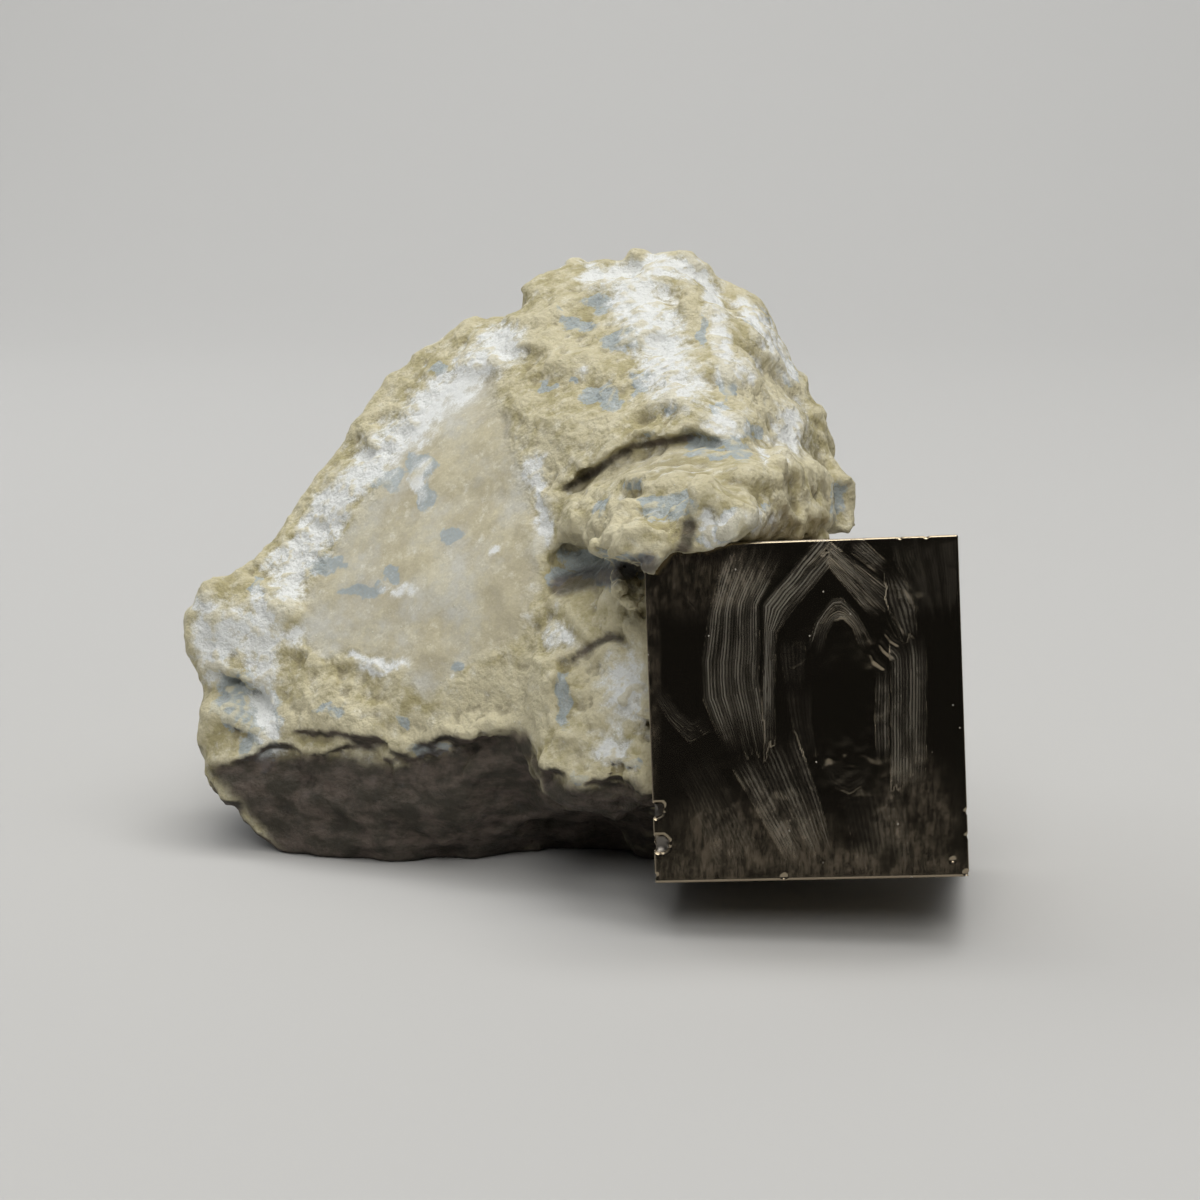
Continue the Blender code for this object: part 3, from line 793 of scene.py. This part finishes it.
def pull_lip_back(points, edges):
    """Draws the marl in front of the crystal back to its traced edge."""
    place = np.array(CRYSTAL_PLACE.inverted())
    depth = points @ place[1, :3] + place[1, 3]
    across, down = photo_place(points)
    inward, along = line_distance(across, down, LIP_EDGE)
    share = 1.0 - LIP_BESIDE / (LIP_BESIDE + LIP_OVER)
    shift = np.clip(inward + LIP_BESIDE, 0.0, LIP_BESIDE + LIP_OVER) * share
    shift *= ramp(depth, 1.2, 0.2) * ramp(along, -0.04, 0.12) * ramp(along, 1.25, 0.95)
    shift = averaged(shift, edges, 3) * MM_PER_PIXEL
    points[:, 0] -= 0.55 * shift
    points[:, 2] += 0.83 * shift


def sink_corner(points):
    """Sinks the thin edge of marl beside the crystal's corner to the back of the crevice."""
    across, down = photo_place(points)
    share = ramp(spots_share(across, down, SUNKEN_SPOTS), 0.05, 0.5)
    points[:, 1] += share * np.maximum(SUNKEN_DEPTH - points[:, 1], 0.0)


def smooth_share(points, normals, edges):
    """1 on the smooth face, down to 0 over its ragged border."""
    across, down = photo_place(points)
    ragged = layered(points, BORDER_WOBBLE)
    share = inside(across + ragged, down - ragged, SMOOTH_FACE) * facing_camera(points, normals)
    return averaged(share, edges, 12)


def push_out(points, normals, move):
    """Moves points along their normals, and less towards the flat base."""
    points += normals * (move * ramp(points[:, 2], 0.2, 1.6))[:, None]


def rough_patches(points):
    """Where the broken surface is rougher, 0 to 1."""
    return ramp(swell(points, 4.0, 54), -0.1, 0.6)


def break_up(points, normals, smooth, settings):
    """The broken surface's larger forms: lumps drawn out along the bedding, flat flakes, and the
    hollow scars of chips."""
    bedding = np.array(Matrix.Rotation(BEDDING_DIP, 3, "Y"))
    flat = (points @ bedding.T) * np.array(BEDDING_STRETCH)
    rugged = 1.0 - 0.9 * smooth
    large, _, from_large = chips(flat + 0.7 * swell(points, 2.4, 50)[:, None], LARGE_FLAKE, 51)
    small, _, from_small = chips(flat + 0.25 * swell(points, 1.0, 52)[:, None], SMALL_FLAKE, 53)
    scooped = 0.9 * (from_large - 0.5) + 0.6 * (from_small - 0.5)
    rough = 0.8 * rough_patches(points)
    move = settings.lumps * (swell(flat, 5.0, 55) + 0.30 * swell(flat, 2.3, 56))
    beside, _ = crystal_distance(points)
    broken = 1.0 + 1.3 * ramp(beside, 5.0, 1.5)
    leaning = np.clip(large, -0.7, 0.7) + 0.75 * np.clip(small, -0.7, 0.7) * (0.5 + rough)
    move += settings.flakes * broken * leaning
    move += settings.scoops * scooped * (0.4 + rough)
    push_out(points, normals, move * rugged + smooth * 0.10 * fractal(points, 5.0, 58, 2))


def roughen(points, normals, smooth, settings):
    """The broken surface's crumbs, in patches, and a faint unevenness everywhere."""
    rough = rough_patches(points)
    chipped, gap, from_middle = chips(points + 0.2 * swell(points, 0.8, 61)[:, None], CRUMB, 62)
    move = settings.crumbs * fractal(points, 0.9, 57, 3) * (0.5 + rough)
    move += settings.crumbs * np.clip(chipped, -0.6, 0.6) * (0.3 + rough) * ramp(gap, 0.0, 0.15)
    move += 1.4 * settings.crumbs * (from_middle - 0.45) * (0.3 + rough)
    beside, _ = crystal_distance(points)
    move = move * (1.0 - 0.8 * smooth) * (1.0 + 0.8 * ramp(beside, 5.0, 1.5))
    push_out(points, normals, move + 0.012 * swell(points, 0.35, 59))


def keep_in_place(points):
    """Holds the rock inside its own box and on its flat base, and lays it close against the crystal."""
    distance, way = crystal_distance(points)
    near = ramp(distance, 0.8, SOCKET)
    clear = SOCKET_GAP + 0.03 * swell(points, 0.6, 60)
    wanted = np.where(distance < SOCKET, clear, distance - (SOCKET - clear) * near)
    points += way * (np.maximum(wanted, clear) - distance)[:, None]
    np.clip(points, ROCK_LOW, ROCK_HIGH, out=points)


def rock_marks(mesh):
    """Stores where the crust, the fresh marl, the brown spots, the pale parts with the painted light beside
    the crystal, the painted shade and the hollows are.
    """
    points, normals = mesh_arrays(mesh)
    edges = mesh_edges(mesh)
    across, down = photo_place(points)
    seen = facing_camera(points, normals)
    hidden = 1.0 - seen
    under = averaged(inside(across, down, UNDERSIDE) * seen, edges, 4)
    # Painted shade in the clefts
    cleft = np.clip(1.6 * strips_share(across, down, CLEFT_SHADE_STRIPS), 0.0, 0.8) * seen
    across += layered(points, MARKS_WOBBLE[0])
    down += layered(points, MARKS_WOBBLE[1])
    fine = ((averaged(points, edges, 4) - points) * normals).sum(axis=1)
    broad = ((averaged(points, edges, 60) - points) * normals).sum(axis=1)
    crust = np.maximum(strips_share(across, down, CRUST_STRIPS), spots_share(across, down, CRUST_SPOTS))
    wild_crust = ramp(fractal(points, 8.0, 70, 2), 0.25, 0.9)
    wild_slate = ramp(fractal(points, 3.0, 71, 2), 0.75, 1.3)
    facing_down = ramp(-normals[:, 2], 0.15, 0.6)
    # Painted shade: the wall under the ledge, and low marl that faces down
    dark = 0.95 * np.maximum(under, facing_down * (points[:, 2] < 9.0))
    # hollow: high in hollows, where shade is painted, and low on crests, where a highlight is painted
    keep_values(mesh, "hollow", np.clip(0.5 + fine * 7.0 + broad * 0.6, 0.0, 1.0))
    keep_values(mesh, "smooth", smooth_share(points, normals, edges))
    keep_values(mesh, "crust", crust * seen + 0.8 * wild_crust * hidden)
    keep_values(mesh, "slate", spots_share(across, down, SLATE_SPOTS) * seen + wild_slate * hidden)
    earth_and_shade = spots_share(across, down, EARTH_SPOTS) * seen * 0.62
    # Brown spots, and painted shade on marl that faces down
    keep_values(mesh, "earth_and_shade", np.maximum(earth_and_shade, 0.5 * facing_down))
    keep_values(mesh, "pale", spots_share(across, down, PALE_AND_LIT_SPOTS) * seen)
    keep_values(mesh, "shade", np.maximum(dark, cleft))


def marl_base(tree, place, film, mottle, ragged, settings):
    """Tan to cream marl, with the grey film on the smooth face."""
    cloud = grain(tree, place, 0.35, 4.0)
    blend = plus(tree, times(tree, cloud, 0.55), times(tree, mottle, 0.45))
    # Paler where the pale spots lie, part of it painted light beside the crystal
    blend = plus(tree, blend, times(tree, stored(tree, "pale"), 0.32))
    base = mix_colours(tree, eased(tree, blend, 0.39, 0.60), colour(settings.tan), colour(settings.cream))
    film_share = eased(tree, plus(tree, film, times(tree, ragged, 0.35)), 0.15, 0.75)
    film_share = times(tree, film_share, eased(tree, blend, 0.40, 0.60, 0.95, 0.40))
    veil = eased(tree, grain(tree, place, 0.22, 6.0, 0.62), 0.40, 0.62)
    film_colour = mix_colours(tree, veil, colour(settings.buff), colour(settings.grey))
    return mix_colours(tree, film_share, base, film_colour)


def marl_patches(tree, base, fine, mottle, ragged, settings):
    """Lays the brown spots, painted shade in hollows and on marl facing down, the blue-grey patches and the
    white crust over the marl, and paints a highlight of paler cream on its convex edges.
    """
    hollow = stored(tree, "hollow")
    earth_and_shade = times(tree, stored(tree, "earth_and_shade"), eased(tree, mottle, 0.3, 0.7, 0.35, 0.85))
    base = mix_colours(tree, earth_and_shade, base, colour(settings.earth_and_shade))
    # Painted shade in hollows
    base = mix_colours(tree, eased(tree, hollow, 0.62, 1.0, 0.0, 0.42), base, colour(settings.earth_and_shade))
    slate = eased(tree, plus(tree, stored(tree, "slate"), times(tree, ragged, 0.6)), 0.20, 0.38)
    slate = times(tree, slate, eased(tree, fine, 0.25, 0.6, 0.6, 0.95))
    base = mix_colours(tree, slate, base, colour(settings.slate))
    crust = plus(tree, stored(tree, "crust"), ragged)
    crust_haze = eased(tree, crust, 0.02, 0.72, 0.0, 0.86)
    crust_grains = eased(tree, plus(tree, crust, times(tree, fine, 0.5)), 0.62, 0.86, 0.0, 0.95)
    crust_share = calculate(tree, "MAXIMUM", crust_haze, crust_grains)
    base = mix_colours(tree, crust_share, base, colour(settings.white))
    # Painted highlight: paler cream on convex edges
    return mix_colours(tree, eased(tree, hollow, 0.45, 0.10, 0.0, 0.65), base, colour(settings.cream))


def painted_wall_shade(tree, place, settings):
    """The colour of the painted shade under the ledge, on low marl facing down and in the clefts, with clouds
    that are drawn out across it.
    """
    clouds = grain(tree, stretched(tree, place, (0.55, 0.55, 1.1)), 0.9, 5.0, 0.65)
    share = eased(tree, clouds, 0.38, 0.66)
    return mix_colours(tree, share, colour(settings.wall), colour(settings.wall_cloud))


def marl_height(tree, place, film, fine):
    """The marl's finest forms: grain and the scars of small chips, and less of them under the film."""
    warp = node(tree, "ShaderNodeTexNoise", {"Vector": place, "Scale": 1.3, "Detail": 3.0}).outputs["Color"]
    inputs = {0: warp, 1: (0.9, 0.9, 0.9), 2: place}
    warped = node(tree, "ShaderNodeVectorMath", inputs, operation="MULTIPLY_ADD").outputs[0]
    height = times(tree, grain(tree, place, 2.4, 5.0, 0.58), 0.75)
    for scale, share in ((1.2, 0.32), (2.7, 0.16)):
        scars = node(tree, "ShaderNodeTexVoronoi", {"Vector": warped, "Scale": scale}).outputs["Distance"]
        height = plus(tree, height, times(tree, scars, share))
    height = plus(tree, height, times(tree, fine, 0.13))
    return times(tree, height, minus(tree, 1.0, times(tree, film, 0.85)))


def marl_material(settings):
    """Broken marl: tan and cream, with a white crust, blue-grey fresh patches, brown spots, and painted shade
    in its hollows and under its ledge.
    """
    material, tree, shader = new_material("marl")
    place = place_in_mm(tree)
    mottle = grain(tree, place, 1.3, 5.0, 0.58)
    fine = grain(tree, place, 7.0, 4.0, 0.7)
    ragged = times(tree, minus(tree, mottle, 0.5), 1.5)
    ragged = plus(tree, ragged, times(tree, minus(tree, fine, 0.5), 0.55))
    film = stored(tree, "smooth")
    specks, speck_height = dust(tree, place, DUST_SCALE, 0.12)
    base = marl_base(tree, place, film, mottle, ragged, settings)
    base = marl_patches(tree, base, fine, mottle, ragged, settings)
    base = mix_colours(tree, times(tree, specks, 0.5), base, colour(settings.white))
    # Painted shade under the ledge, on low marl facing down and in the clefts
    base = mix_colours(tree, stored(tree, "shade"), base, painted_wall_shade(tree, place, settings))
    inputs = {0: base, "Scale": eased(tree, fine, 0.25, 0.75, 0.91, 1.06)}
    base = node(tree, "ShaderNodeVectorMath", inputs, operation="SCALE").outputs[0]
    feed(tree, shader.inputs["Base Color"], base)
    rough = minus(tree, eased(tree, fine, 0.2, 0.8, 0.62, 0.85), times(tree, film, 0.12))
    feed(tree, shader.inputs["Roughness"], rough)
    shader.inputs["Specular IOR Level"].default_value = 0.35
    height = plus(tree, marl_height(tree, place, film, fine), times(tree, speck_height, 0.2))
    add_bump(tree, shader, height, 0.8, 0.42 * MM)
    return material


def build_rock(settings):
    """Builds the marl: larger forms on a fine copy of its solid, then finer ones on a second mesh."""
    piece = fine_copy("marl_rock", "matrix_rock", settings)
    points, normals = mesh_arrays(piece.data)
    edges = mesh_edges(piece.data)
    carve_steps(points, normals, edges)
    break_up(points, normals, smooth_share(points, normals, edges), settings)
    pull_lip_back(points, edges)
    sink_corner(points)
    put_points(piece.data, points)
    remesh(piece, settings.fine_mesh, 1)
    points, normals = mesh_arrays(piece.data)
    edges = mesh_edges(piece.data)
    roughen(points, normals, smooth_share(points, normals, edges), settings)
    keep_in_place(points)
    put_points(piece.data, points)
    count = sum(len(face.vertices) - 2 for face in piece.data.polygons)
    if count > settings.triangles:
        thin = piece.modifiers.new("fewer faces", "DECIMATE")
        thin.ratio = settings.triangles / count
        apply_modifiers(piece)
    rock_marks(piece.data)
    piece.data.materials.clear()
    piece.data.materials.append(marl_material(settings))
    set_down(piece)
    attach(piece, "root")
    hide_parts("matrix_rock")


def arch_reach(across, up, arch):
    """How far points are inside a pointed arch, in millimetres, with minus outside it."""
    middle, half_width, bottom, shoulder, tip = arch
    side = np.abs(across - middle)
    pitch = math.atan2(tip - shoulder, half_width)
    roof = (tip - up) * math.cos(pitch) - side * math.sin(pitch)
    return np.minimum(np.minimum(half_width - side, (up - bottom) / TERRACE_FOOT), roof)


def growth_lines(across, down):
    """The fine growth lines of the front face: where each pixel lies across its band's lines, in
    millimetres at their usual spacing, where it lies along them, and how bright their painted glint is there."""
    contour = np.zeros(len(across))
    run = np.zeros(len(across))
    glint = np.zeros(len(across))
    for number, (outer, inner, count, strength) in enumerate(GROWTH_BANDS):
        from_outer, along_outer = line_distance(across, down, outer)
        from_inner, along_inner = line_distance(across, down, inner)
        width = np.abs(from_outer) + np.abs(from_inner)
        share = np.abs(from_outer) / np.maximum(width, 0.001)
        between = from_outer * from_inner < 0
        along = 0.5 * (along_outer + along_inner)
        soft = ramp(np.minimum(share, 1.0 - share) * width, 0.0, 3.0)
        ragged = 0.10 * swell(np.stack([share * count, 0.0 * share, 0.0 * share + number], axis=1), 1.7, 92)
        ends = ramp(np.minimum(along, 1.0 - along) + ragged, 0.0, 0.24)
        value = np.where(between, strength * soft * ends, 0.0)
        stronger = value > glint
        contour = np.where(stronger, (share * count + 40.0 * number) * LINE_SPACING, contour)
        run = np.where(stronger, along * 6.0, run)
        glint = np.where(stronger, value, glint)
    return contour, run, glint


def box_grid(settings):
    """The crystal as a box of fine cells on its front and sides and one face at its back, round the
    middle of its front face."""
    half = CRYSTAL_SIZE / 2
    columns, rows, layers = settings.columns, settings.rows, settings.layers
    inset = 0.5 * settings.edge

    def marks(end, cells):
        inner = np.linspace(-end + 2 * inset, end - 2 * inset, cells - 3)
        return np.concatenate([[-end, -end + inset], inner, [end - inset, end]])

    xs, zs = marks(half.x, columns), marks(half.z, rows)
    ys = np.concatenate([[0.0, inset], np.linspace(2 * inset, CRYSTAL_SIZE.y, layers - 1)])
    rim = [(i, 0) for i in range(columns)] + [(columns, j) for j in range(rows)]
    rim += [(i, rows) for i in range(columns, 0, -1)] + [(0, j) for j in range(rows, 0, -1)]
    points = [(xs[i], 0.0, zs[j]) for j in range(rows + 1) for i in range(columns + 1)]
    ring = [j * (columns + 1) + i for i, j in rim]
    faces = []
    for j in range(rows):
        for i in range(columns):
            corner = j * (columns + 1) + i
            faces.append((corner, corner + 1, corner + columns + 2, corner + columns + 1))
    for layer in range(1, layers + 1):
        start = len(points)
        points += [(xs[i], ys[layer], zs[j]) for i, j in rim]
        new_ring = list(range(start, len(points)))
        for k in range(len(rim)):
            after = (k + 1) % len(rim)
            faces.append((ring[k], new_ring[k], new_ring[after], ring[after]))
        ring = new_ring
    faces.append(tuple(ring))
    return np.array(points), faces


def growth_relief(across, up, photo_across, photo_down):
    """How far each point of the front face is sunk, in millimetres."""
    flat = np.stack([across, np.zeros(len(across)), up], axis=1)
    wander = layered(flat, TERRACE_WOBBLE)
    sunk = np.zeros(len(across))
    for arch in TERRACES:
        sunk += TERRACE_STEP * ramp(arch_reach(across, up, arch) + wander, -0.6, 0.6)
    sunk += layered(flat, FACE_SWELLS)
    for line, half_width, height in RIDGES:
        below, along = line_distance(photo_across, photo_down, line)
        ends = ramp(np.minimum(along, 1.0 - along), -0.05, 0.2)
        sunk -= height * ends * ramp(np.abs(below), SOFT_EDGE * half_width, 0.0)
    return sunk


def side_relief(local):
    """How far each point of the other faces is sunk: bands of fine growth steps along the depth."""
    across, deep, up = local[:, 0], local[:, 1], local[:, 2]
    half = CRYSTAL_SIZE / 2
    on_side = np.abs(across) > half.x - 0.01
    run = np.where(on_side, up, across)
    seed = np.where(on_side, np.where(across > 0, 3.0, 9.0), np.where(up > 0, 15.0, 21.0))
    bands = np.stack([run, 0.06 * deep, seed], axis=1)
    steps = np.floor(7.0 * swell(bands, 3.2, 85)) * 0.011 + 0.008 * swell(bands, 0.5, 86)
    return steps + 0.03 * swell(np.stack([run, deep, seed], axis=1), 6.0, 87)


def pit_depths(local, photo_across, photo_down):
    """Small broken pits, as hollow balls on the face."""
    depth = np.zeros(len(local))
    pixels = pixels_per_mm(FACE_AWAY)
    rough = 0.35 * swell(local, 0.45, 88)
    for x, y, radius, deepest in PITS:
        reach = np.hypot(photo_across - x, photo_down - y) / pixels / radius + rough
        depth = np.maximum(depth, deepest * np.clip(1.0 - reach**2, 0.0, 1.0) ** 0.6)
    return depth


def along_lines(tree, stretch, layer):
    """A place for noise that is drawn out along the growth lines."""
    run = times(tree, stored(tree, "run"), stretch)
    inputs = {"X": stored(tree, "contour"), "Y": run, "Z": layer}
    return node(tree, "ShaderNodeCombineXYZ", inputs).outputs[0]


def line_streaks(tree):
    """How bright the growth lines' painted glint is, and the finer streaks along them."""
    place = along_lines(tree, 0.04, 0.0)
    broad = grain(tree, place, 1.7, 2.0, 0.5)
    streaks = grain(tree, place, 9.5, 2.0, 0.6)
    phase = times(tree, stored(tree, "contour"), 2.0 * math.pi / LINE_SPACING)
    phase = plus(tree, phase, times(tree, broad, 9.0))
    lines = times(tree, plus(tree, calculate(tree, "SINE", phase), 1.0), 0.22)
    lines = plus(tree, lines, times(tree, streaks, 0.56))
    bright = eased(tree, lines, 0.30, 0.70, 0.36, 1.0)
    return times(tree, bright, eased(tree, broad, 0.36, 0.58, 0.55, 1.0)), streaks


def face_haze(tree, place):
    """How hazy the faces are, in clouds and fine upright streaks."""
    clouds = grain(tree, place, 0.9, 8.0, 0.72)
    upright = grain(tree, stretched(tree, place, (4.5, 4.5, 0.7)), 1.0, 5.0, 0.65)
    haze = times(tree, stored(tree, "haze"), eased(tree, clouds, 0.35, 0.65, 0.25, 1.0))
    return times(tree, haze, eased(tree, upright, 0.36, 0.64, 0.45, 1.3))


def pyrite_material(settings):
    """Dark bronze mirror, with a painted glint of brass on its growth lines and edges, brown haze, dust and
    broken pits.
    """
    material, tree, shader = new_material("pyrite")
    place = place_in_mm(tree)
    bright, streaks = line_streaks(tree)
    patchy = eased(tree, grain(tree, along_lines(tree, 0.30, 4.0), 2.6, 3.0, 0.6), 0.30, 0.56, 0.5, 1.0)
    glint = times(tree, stored(tree, "glint"), patchy)
    painted_glint = times(tree, bright, glint)
    haze = face_haze(tree, place)
    pit = stored(tree, "pit")
    specks, speck_height = dust(tree, place, DUST_SCALE, 0.03)
    specks = times(tree, specks, 0.75)
    base = mix_colours(tree, haze, colour(settings.bronze), colour(settings.brown))
    # Painted glint: brass where the growth lines catch the light
    base = mix_colours(tree, painted_glint, base, colour(settings.glint_brass))
    base = mix_colours(tree, eased(tree, pit, 0.1, 0.7, 0.0, 0.8), base, colour(settings.broken))
    base = mix_colours(tree, specks, base, colour(settings.specks))
    feed(tree, shader.inputs["Base Color"], base)
    rough = 0.10
    for share, factor in ((haze, 0.24), (painted_glint, 0.24), (pit, 0.25), (specks, 0.5)):
        rough = plus(tree, rough, times(tree, share, factor))
    feed(tree, shader.inputs["Roughness"], rough)
    feed(tree, shader.inputs["Metallic"], minus(tree, 1.0, specks))
    height = plus(tree, times(tree, streaks, glint), times(tree, speck_height, 0.4))
    height = plus(tree, height, times(tree, grain(tree, place, 5.0, 3.0), 0.04))
    add_bump(tree, shader, height, 0.7, 0.028 * MM)
    return material


def build_crystal(settings):
    """Builds the crystal: a fine box with round edges, its relief, and what its material reads."""
    local, faces = box_grid(settings)
    matrix = np.array(CRYSTAL_PLACE)
    photo_across, photo_down = photo_place(local @ matrix[:3, :3].T + matrix[:3, 3])
    across, deep, up = local[:, 0], local[:, 1], local[:, 2]
    half = CRYSTAL_SIZE / 2
    front = deep < 0.001
    from_edge = np.minimum(half.x - np.abs(across), half.z - np.abs(up))
    flat = ramp(from_edge, 0.05, 0.5)
    relief = growth_relief(across, up, photo_across, photo_down) * flat
    sunk = np.where(front, np.maximum(relief, 0.0), 0.0)
    pits = np.where(deep < 1.2, pit_depths(local, photo_across, photo_down), 0.0) * ramp(deep, 1.2, 0.0)
    side = np.where(front, 0.0, np.clip(0.06 + side_relief(local), 0.0, 0.16) * ramp(deep, 0.1, 0.8))
    radius = settings.edge
    centre = np.array((0.0, CRYSTAL_SIZE.y / 2, 0.0))
    reach = to_array(half) - radius
    core = np.clip(local - centre, -reach, reach)
    out = local - centre - core
    length = np.linalg.norm(out, axis=1, keepdims=True)
    out /= np.maximum(length, 1e-9)
    rounded = centre + core + out * radius
    rounded -= out * (sunk + pits + side)[:, None]
    mesh = bpy.data.meshes.new("pyrite_crystal")
    mesh.from_pydata([tuple(point) for point in rounded], [], faces)
    mesh.transform(CRYSTAL_PLACE)
    piece = add_piece("pyrite_crystal", mesh)
    wander = layered(local, LINE_WOBBLE)
    contour, run, glint = growth_lines(photo_across + wander, photo_down + wander)
    bands = np.where(np.abs(across) > half.x - 0.01, up, across)
    keep_values(mesh, "contour", np.where(front, contour, bands))
    keep_values(mesh, "run", np.where(front, run, deep))
    # Painted highlight along the front face's edges, stored with the growth lines' glint
    painted_edge_glint = 0.35 * ramp(from_edge, 0.16, 0.03)
    keep_values(mesh, "glint", np.where(front, np.maximum(glint, painted_edge_glint), 0.45))
    haze = np.clip(1.2 * spots_share(photo_across, photo_down, HAZE_SPOTS), 0.0, 0.55)
    keep_values(mesh, "haze", np.where(front, haze, 0.3))
    keep_values(mesh, "pit", np.clip(pits / 0.3, 0.0, 1.0))
    mesh.materials.append(pyrite_material(settings))
    set_down(piece)
    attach(piece, "root")
    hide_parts("pyrite_cube")


def floor_material(settings):
    material, _, shader = new_material("floor")
    shader.inputs["Base Color"].default_value = colour(settings.floor)
    shader.inputs["Roughness"].default_value = 0.8
    return material


def build_floor(settings):
    """A pale floor that sweeps up into a backdrop behind the specimen."""
    width, front, back, rise, bend = 3.0, -2.5, 0.9, 1.6, 0.5
    bend_steps = 12
    profile = [(front, 0.0), (back - bend, 0.0)]
    for step in range(1, bend_steps + 1):
        turn = math.radians(90.0 * step / bend_steps)
        profile.append((back - bend + bend * math.sin(turn), bend - bend * math.cos(turn)))
    profile.append((back, rise))
    points = [(side * width, y, z) for y, z in profile for side in (-1, 1)]
    faces = [(2 * i, 2 * i + 1, 2 * i + 3, 2 * i + 2) for i in range(len(profile) - 1)]
    mesh = bpy.data.meshes.new("studio_floor")
    mesh.from_pydata(points, [], faces)
    mesh.shade_smooth()
    floor = add_piece("studio_floor", mesh)
    mesh.materials.append(floor_material(settings))


def area_light(name, place, target, size, tint, power):
    data = bpy.data.lights.new(name, "AREA")
    data.shape = "SQUARE"
    data.size = size
    data.energy = power
    data.color = tint
    light = bpy.data.objects.new(name, data)
    bpy.context.scene.collection.objects.link(light)
    light.location = place
    light.rotation_euler = (Vector(target) - Vector(place)).to_track_quat("-Z", "Y").to_euler()


def studio_sky(settings):
    """Soft light from above and behind, and a dark side in front, which the mirror face shows."""
    world = bpy.data.worlds.new("studio")
    bpy.context.scene.world = world
    world.use_nodes = True
    tree = world.node_tree
    towards = node(tree, "ShaderNodeTexCoord").outputs["Generated"]
    parts = node(tree, "ShaderNodeSeparateXYZ", {0: towards})
    above = eased(tree, parts.outputs["Z"], 0.12, 0.85, 0.0, 1.0)
    behind = eased(tree, parts.outputs["Y"], -0.55, 0.5, 0.07, 0.7)
    background = tree.nodes["Background"]
    background.inputs["Color"].default_value = (0.93, 0.96, 1.0, 1.0)
    feed(tree, background.inputs["Strength"], times(tree, plus(tree, above, behind), settings.sky))


def build_camera():
    """The camera at the photograph's viewing angle."""
    data = bpy.data.cameras.new("camera")
    data.lens = CAMERA_LENS
    data.sensor_width = CAMERA_SENSOR
    data.clip_start = 0.005
    camera = bpy.data.objects.new("camera", data)
    bpy.context.scene.collection.objects.link(camera)
    camera.location = LAYOUT @ CAMERA_PLACE
    camera.rotation_euler = (math.radians(90.0) - CAMERA_DIP, 0.0, 0.0)
    bpy.context.scene.camera = camera


def build_stage(settings):
    build_floor(settings)
    studio_sky(settings)
    powers = (settings.key_power, settings.fill_power, settings.front_power, settings.backdrop_power)
    for light, power in zip(LIGHTS, powers):
        area_light(*light, power)
    build_camera()
    bpy.context.scene.view_settings.view_transform = "Standard"


class SPECIMEN_OT_rock(bpy.types.Operator):
    """Builds the broken marl that the crystal grew in"""

    bl_idname = "specimen.rock"
    bl_label = "Build Rock"

    def execute(self, context):
        build_rock(context.scene.specimen_rock)
        return {"FINISHED"}


class SPECIMEN_OT_crystal(bpy.types.Operator):
    """Builds the pyrite crystal with its growth steps"""

    bl_idname = "specimen.crystal"
    bl_label = "Build Crystal"

    def execute(self, context):
        build_crystal(context.scene.specimen_crystal)
        return {"FINISHED"}


class SPECIMEN_OT_stage(bpy.types.Operator):
    """Builds the floor, the lights and the camera"""

    bl_idname = "specimen.stage"
    bl_label = "Build Stage"

    def execute(self, context):
        build_stage(context.scene.specimen_stage)
        return {"FINISHED"}


class SPECIMEN_PT_panel(bpy.types.Panel):
    """Lists what builds the specimen, with its sizes and colours"""

    bl_idname = "SPECIMEN_PT_panel"
    bl_label = "Pyrite Specimen"
    bl_space_type = "VIEW_3D"
    bl_region_type = "UI"
    bl_category = "Specimen"

    def draw(self, context):
        for operator, owner in PANEL_ROWS:
            column = self.layout.column(align=True)
            column.operator(operator)
            settings = getattr(context.scene, owner)
            for name in settings.__annotations__:
                column.prop(settings, name)


PANEL_ROWS = (
    ("specimen.rock", "specimen_rock"),
    ("specimen.crystal", "specimen_crystal"),
    ("specimen.stage", "specimen_stage"),
)
CLASSES = (
    RockSettings,
    CrystalSettings,
    StageSettings,
    SPECIMEN_OT_rock,
    SPECIMEN_OT_crystal,
    SPECIMEN_OT_stage,
    SPECIMEN_PT_panel,
)


def register():
    for item in CLASSES:
        bpy.utils.register_class(item)
    bpy.types.Scene.specimen_rock = PointerProperty(type=RockSettings)
    bpy.types.Scene.specimen_crystal = PointerProperty(type=CrystalSettings)
    bpy.types.Scene.specimen_stage = PointerProperty(type=StageSettings)


def unregister():
    del bpy.types.Scene.specimen_stage
    del bpy.types.Scene.specimen_crystal
    del bpy.types.Scene.specimen_rock
    for item in reversed(CLASSES):
        bpy.utils.unregister_class(item)


def main():
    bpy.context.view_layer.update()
    register()
    bpy.ops.specimen.rock()
    bpy.ops.specimen.crystal()
    bpy.ops.specimen.stage()


if __name__ == "__main__":
    main()
